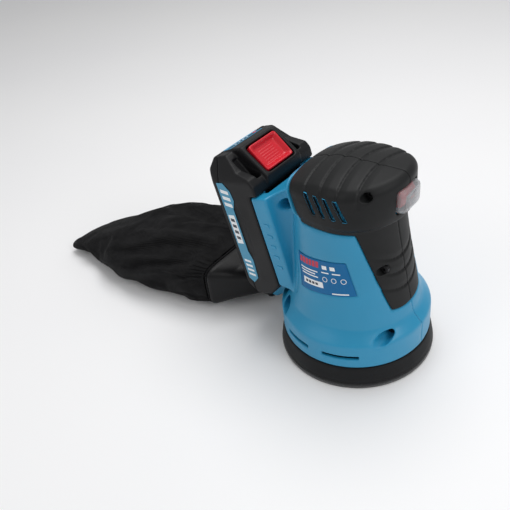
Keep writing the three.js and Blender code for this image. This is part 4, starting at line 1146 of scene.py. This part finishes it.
def build_spring():
    """The coil spring under the release button."""
    turns, steps, sides = 6, 144, 8
    points = []
    for i in range(steps + 1):
        angle = 2 * math.pi * turns * i / steps
        centre = Vector((SPRING_R * math.cos(angle), SPRING_R * math.sin(angle),
                         SPRING_FOOT + SPRING_WIRE_R + (SPRING_LENGTH - 2 * SPRING_WIRE_R) * i / steps))
        outward = Vector((math.cos(angle), math.sin(angle), 0))
        for j in range(sides):
            turn = 2 * math.pi * j / sides
            offset = outward * math.cos(turn) + Vector((0, 0, 1)) * math.sin(turn)
            points.append(centre + offset * SPRING_WIRE_R)
    faces = ring_faces(steps + 1, sides)
    faces += [tuple(range(sides - 1, -1, -1)), tuple(range(steps * sides, (steps + 1) * sides))]
    spring = mesh_object("release_coil", np.array(points) * MM, faces, STEEL)
    spring.data.transform(RELEASE_MATRIX)
    standing_for(smooth(spring), "battery", "motor_steel", "release_spring")
    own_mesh(spring)


# ------------------------------------------------------------------ duct, adaptor and bag


def tube_field(grid, stations, grow=0.0, spread=3.0):
    """A tube along x through stations of x, middle z, half width, half height and squareness."""
    middle, half, high, squareness = stations_at(stations, grid.x, spread)
    return oval(grid.y, grid.z - middle, half + grow, high + grow, squareness)


def build_duct():
    """The blue outlet of the skirt."""
    middle, high = sum(DUCT_Z) / 2, (DUCT_Z[1] - DUCT_Z[0]) / 2
    stations = [(DUCT_END_X, middle, DUCT_HALF_WIDTH, high, 3.2), (-73, middle, DUCT_HALF_WIDTH, high, 3.2),
                (-66, 28, DUCT_HALF_WIDTH - 3, 7, 5), (-52, 28, DUCT_HALF_WIDTH - 3, 7, 5)]
    grid = Grid((DUCT_END_X - 1.5, -17.5, 12.5), (-50, 17.8, 37.5), 0.5)
    tube = tube_field(grid, stations)
    shell = round_max(np.maximum(tube, -(tube + 2)), np.maximum(DUCT_END_X - grid.x, grid.x + 52), 0.5)
    piece = meshed("dust_outlet", softened(shell, 1), grid, BLUE, 0.003)
    standing_for(piece, "housing", "housing_blue", "dust_duct")


def build_adaptor():
    """The black funnel from the duct to the bag's wide mouth, with a bead round its rim."""
    middle, high = sum(DUCT_Z) / 2, (DUCT_Z[1] - DUCT_Z[0]) / 2 + GAP
    mouth, mouth_high = sum(MOUTH_Z) / 2, (MOUTH_Z[1] - MOUTH_Z[0]) / 2
    sleeve = DUCT_HALF_WIDTH + GAP
    stations = [(MOUTH_X, mouth, MOUTH_HALF_WIDTH - 2, mouth_high - 2, 7),
                (MOUTH_X + 3, mouth, MOUTH_HALF_WIDTH - 2, mouth_high - 2, 7),
                (-106, (middle + mouth) / 2, 33, 14, 5), (-88, middle, sleeve, high, 3.2),
                (-77, middle, sleeve, high, 3.2)]
    grid = Grid((MOUTH_X - 1.2, -50, 4.5), (-75.5, 50.2, 48.5), 0.6)
    inner = tube_field(grid, stations, spread=1.5)
    outer = tube_field(grid, stations, 2, spread=1.5)
    bead = np.hypot(outer + 0.9, grid.x - MOUTH_X - 1.1) - 1.3
    ring = np.hypot(outer + 0.8, grid.x + 79) - 1.4
    wall = round_max(np.maximum(outer, -inner), np.maximum(MOUTH_X - grid.x, grid.x + 77), 0.6)
    shell = np.maximum(np.minimum(np.minimum(wall, bead), ring), -inner)
    piece = meshed("bag_funnel", softened(shell, 1), grid, SATIN_BLACK, 0.003)
    standing_for(piece, "bag", "inner_black", "bag_adaptor")


BAG_AROUND = 132
BAG_ALONG = 84
GATHERS = 34
BAG_FRAMES = 20
BAG_CLOTH = {
    "quality": 6, "mass": 0.15, "tension_stiffness": 20, "compression_stiffness": 20, "shear_stiffness": 6,
    "bending_stiffness": 0.4, "air_damping": 4, "shrink_min": -0.07, "use_pressure": True,
    "uniform_pressure_force": 1.6,
}
BAG_MOVE_LIMIT = 9
BAG_CLEARANCE = 0.7
BAG_PAST_CAD = 4
FABRIC_THICKNESS = 0.5


def bag_ring(x):
    """Middle y, half width, bottom, top and squareness of the bag at a place along it."""
    table = np.array(BAG, float)[::-1]
    return [float(np.interp(x, table[:, 0], table[:, i])) for i in range(1, 6)]


def bag_folds(share, angle, reach):
    """How far the slack fabric stands in or out: long folds that run back to the tip."""
    swell = math.sin(math.pi * min(share * 1.15, 1))
    long_fold = 4.5 * math.sin(2 * angle + 1.4 + 1.6 * share) * swell
    crease = -8.5 * math.exp(-((angle - 4.05 + 0.5 * share) / 0.26) ** 2) * math.sin(math.pi * share ** 0.7)
    ripple = 2.6 * math.sin(7 * angle + 9 * share) * share * (1 - share)
    slack = 1.3 * math.sin(11 * angle - 21 * share) * swell
    return (long_fold + crease + ripple + slack) * min(1, reach / 30)


def bag_point(along, around):
    """A point of the bag before it is simulated, in millimetres."""
    share = along / BAG_ALONG
    x = BAG[0][0] + (BAG[-1][0] - BAG[0][0]) * share ** 0.92
    angle = 2 * math.pi * around / BAG_AROUND
    y, half, bottom, top, n = bag_ring(x)
    gather = math.exp(-share * 16) * (1 - math.exp(-share * 90))
    pleat = 1.5 * gather * math.cos(GATHERS * angle + 0.7 * math.sin(5 * angle))
    grow = bag_folds(share, angle, half) + pleat - 1.5 * min(1, share * 8)
    cosine, sine = math.cos(angle), math.sin(angle)
    reach_y = (half + grow) * math.copysign(abs(cosine) ** (2 / n), cosine)
    reach_z = ((top - bottom) / 2 + grow) * math.copysign(abs(sine) ** (2 / n), sine)
    droop = 2.5 * math.sin(9 * share + 1.5) * share
    return (x, y + reach_y + droop, max((top + bottom) / 2 + reach_z, 0.9))


def bag_mesh():
    points = [bag_point(i, j) for i in range(BAG_ALONG + 1) for j in range(BAG_AROUND)]
    faces = [(a, d, c, b) for a, b, c, d in ring_faces(BAG_ALONG + 1, BAG_AROUND)]
    last = BAG_ALONG * BAG_AROUND
    tip = len(points)
    points.append(tuple(sum(point[axis] for point in points[last:]) / BAG_AROUND for axis in range(3)))
    faces += [(last + j, tip, last + (j + 1) % BAG_AROUND) for j in range(BAG_AROUND)]
    return np.array(points) * MM, faces


def simulate_bag(bag):
    """Lets the bag's slack fabric swell and wrinkle between its pinned mouth and the floor."""
    mouth = bag.vertex_groups.new(name="mouth")
    for ring, weight in ((0, 1.0), (1, 0.9), (2, 0.5), (3, 0.2)):
        mouth.add(list(range(ring * BAG_AROUND, (ring + 1) * BAG_AROUND)), weight, "REPLACE")
    start = np.array([v.co for v in bag.data.vertices])
    cloth = bag.modifiers.new("cloth", "CLOTH")
    for setting, value in BAG_CLOTH.items():
        setattr(cloth.settings, setting, value)
    cloth.settings.vertex_group_mass = "mouth"
    cloth.settings.effector_weights.gravity = 0
    cloth.collision_settings.use_collision = False
    scene = bpy.context.scene
    cloth.point_cache.frame_start, cloth.point_cache.frame_end = 1, BAG_FRAMES
    for step in range(1, BAG_FRAMES + 1):
        scene.frame_set(step)
    graph = bpy.context.evaluated_depsgraph_get()
    end = np.array([v.co for v in bag.evaluated_get(graph).data.vertices])
    move = end - start
    length = np.linalg.norm(move, axis=1, keepdims=True)
    move *= np.minimum(1, BAG_MOVE_LIMIT * MM / np.maximum(length, 1e-9))
    bag.modifiers.clear()
    scene.frame_set(1)
    bag.data.vertices.foreach_set("co", (start + move).astype(np.float32).ravel())
    bag.data.update()


def build_bag():
    """The fabric bag, gathered on its elastic at the mouth and slack towards its tip."""
    points, faces = bag_mesh()
    bag = mesh_object("fabric_bag", points, faces, FABRIC)
    simulate_bag(bag)
    low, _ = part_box("dust_bag")
    for vertex in bag.data.vertices:
        vertex.co.z = max(vertex.co.z, BAG_CLEARANCE * MM)
        vertex.co.x = max(vertex.co.x, low.x - BAG_PAST_CAD * MM)
    thicken(bag, FABRIC_THICKNESS * MM, -1)
    level = bag.modifiers.new("round", "SUBSURF")
    level.levels = level.render_levels = 1
    smooth(bag, math.pi)
    standing_for(bag, "bag", "bag_fabric", "dust_bag")
    hem = build_hem()


def build_hem():
    """The elastic hem that grips the adaptor's rim, puckered all round."""
    mouth, high = sum(MOUTH_Z) / 2, (MOUTH_Z[1] - MOUTH_Z[0]) / 2
    around, across = 288, 10
    points = []
    for i in range(around):
        angle = 2 * math.pi * i / around
        cosine, sine = math.cos(angle), math.sin(angle)
        pucker = 0.28 * math.cos(2 * GATHERS * angle)
        for j in range(across):
            turn = 2 * math.pi * j / across
            reach = 1.15 * math.cos(turn) - 1.1 + pucker
            y = (MOUTH_HALF_WIDTH + reach) * math.copysign(abs(cosine) ** (2 / 7), cosine)
            z = mouth + (high + reach) * math.copysign(abs(sine) ** (2 / 7), sine)
            points.append((MOUTH_X - 1.7 + 1.35 * math.sin(turn), y, z))
    hem = mesh_object("bag_hem", np.array(points) * MM, ring_faces(around, across, closed=True), ELASTIC)
    return standing_for(smooth(hem, math.pi), "bag", "bag_fabric", "bag_elastic")


# ------------------------------------------------------------------ carried-over CAD nodes

CAD_LOOKS = {
    "housing_screw": BLACKENED, "switch_body": INNER_BLACK, "control_board": BOARD, "motor_can": DULL_STEEL,
    "motor_end_cap": INNER_BLACK, "motor_magnets": MAGNET, "lower_motor": STEEL, "upper_motor": STEEL,
    "pad_brake_ring": INNER_BLACK, "terminal_block": INNER_BLACK, "terminal_blade": BRASS,
    "motor_shaft": STEEL, "armature": COPPER, "commutator": COPPER, "dust_fan": INNER_BLACK,
    "orbit_crank": DULL_STEEL, "pad_bearing": STEEL, "backing_plate": INNER_BLACK, "pad_screw": STEEL,
    "battery_cell": CELL_WRAP, "battery_board": BOARD,
}


def finish_cad_nodes():
    """Gives every CAD node that still shows its own material."""
    for name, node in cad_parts.items():
        if node.hide_render:
            continue
        material = next(look for start, look in CAD_LOOKS.items() if name.startswith(start))
        node.data.materials.clear()
        node.data.materials.append(material)


add_camera()
add_studio()
build_housing()
build_grip()
build_vent_rims()
build_mount_marks()
build_rating_label()
build_boot()
build_rocker()
build_pad()
build_pack_case()
build_pack_labels()
build_gauge()
build_release()
build_spring()
build_duct()
build_adaptor()
build_bag()
finish_cad_nodes()
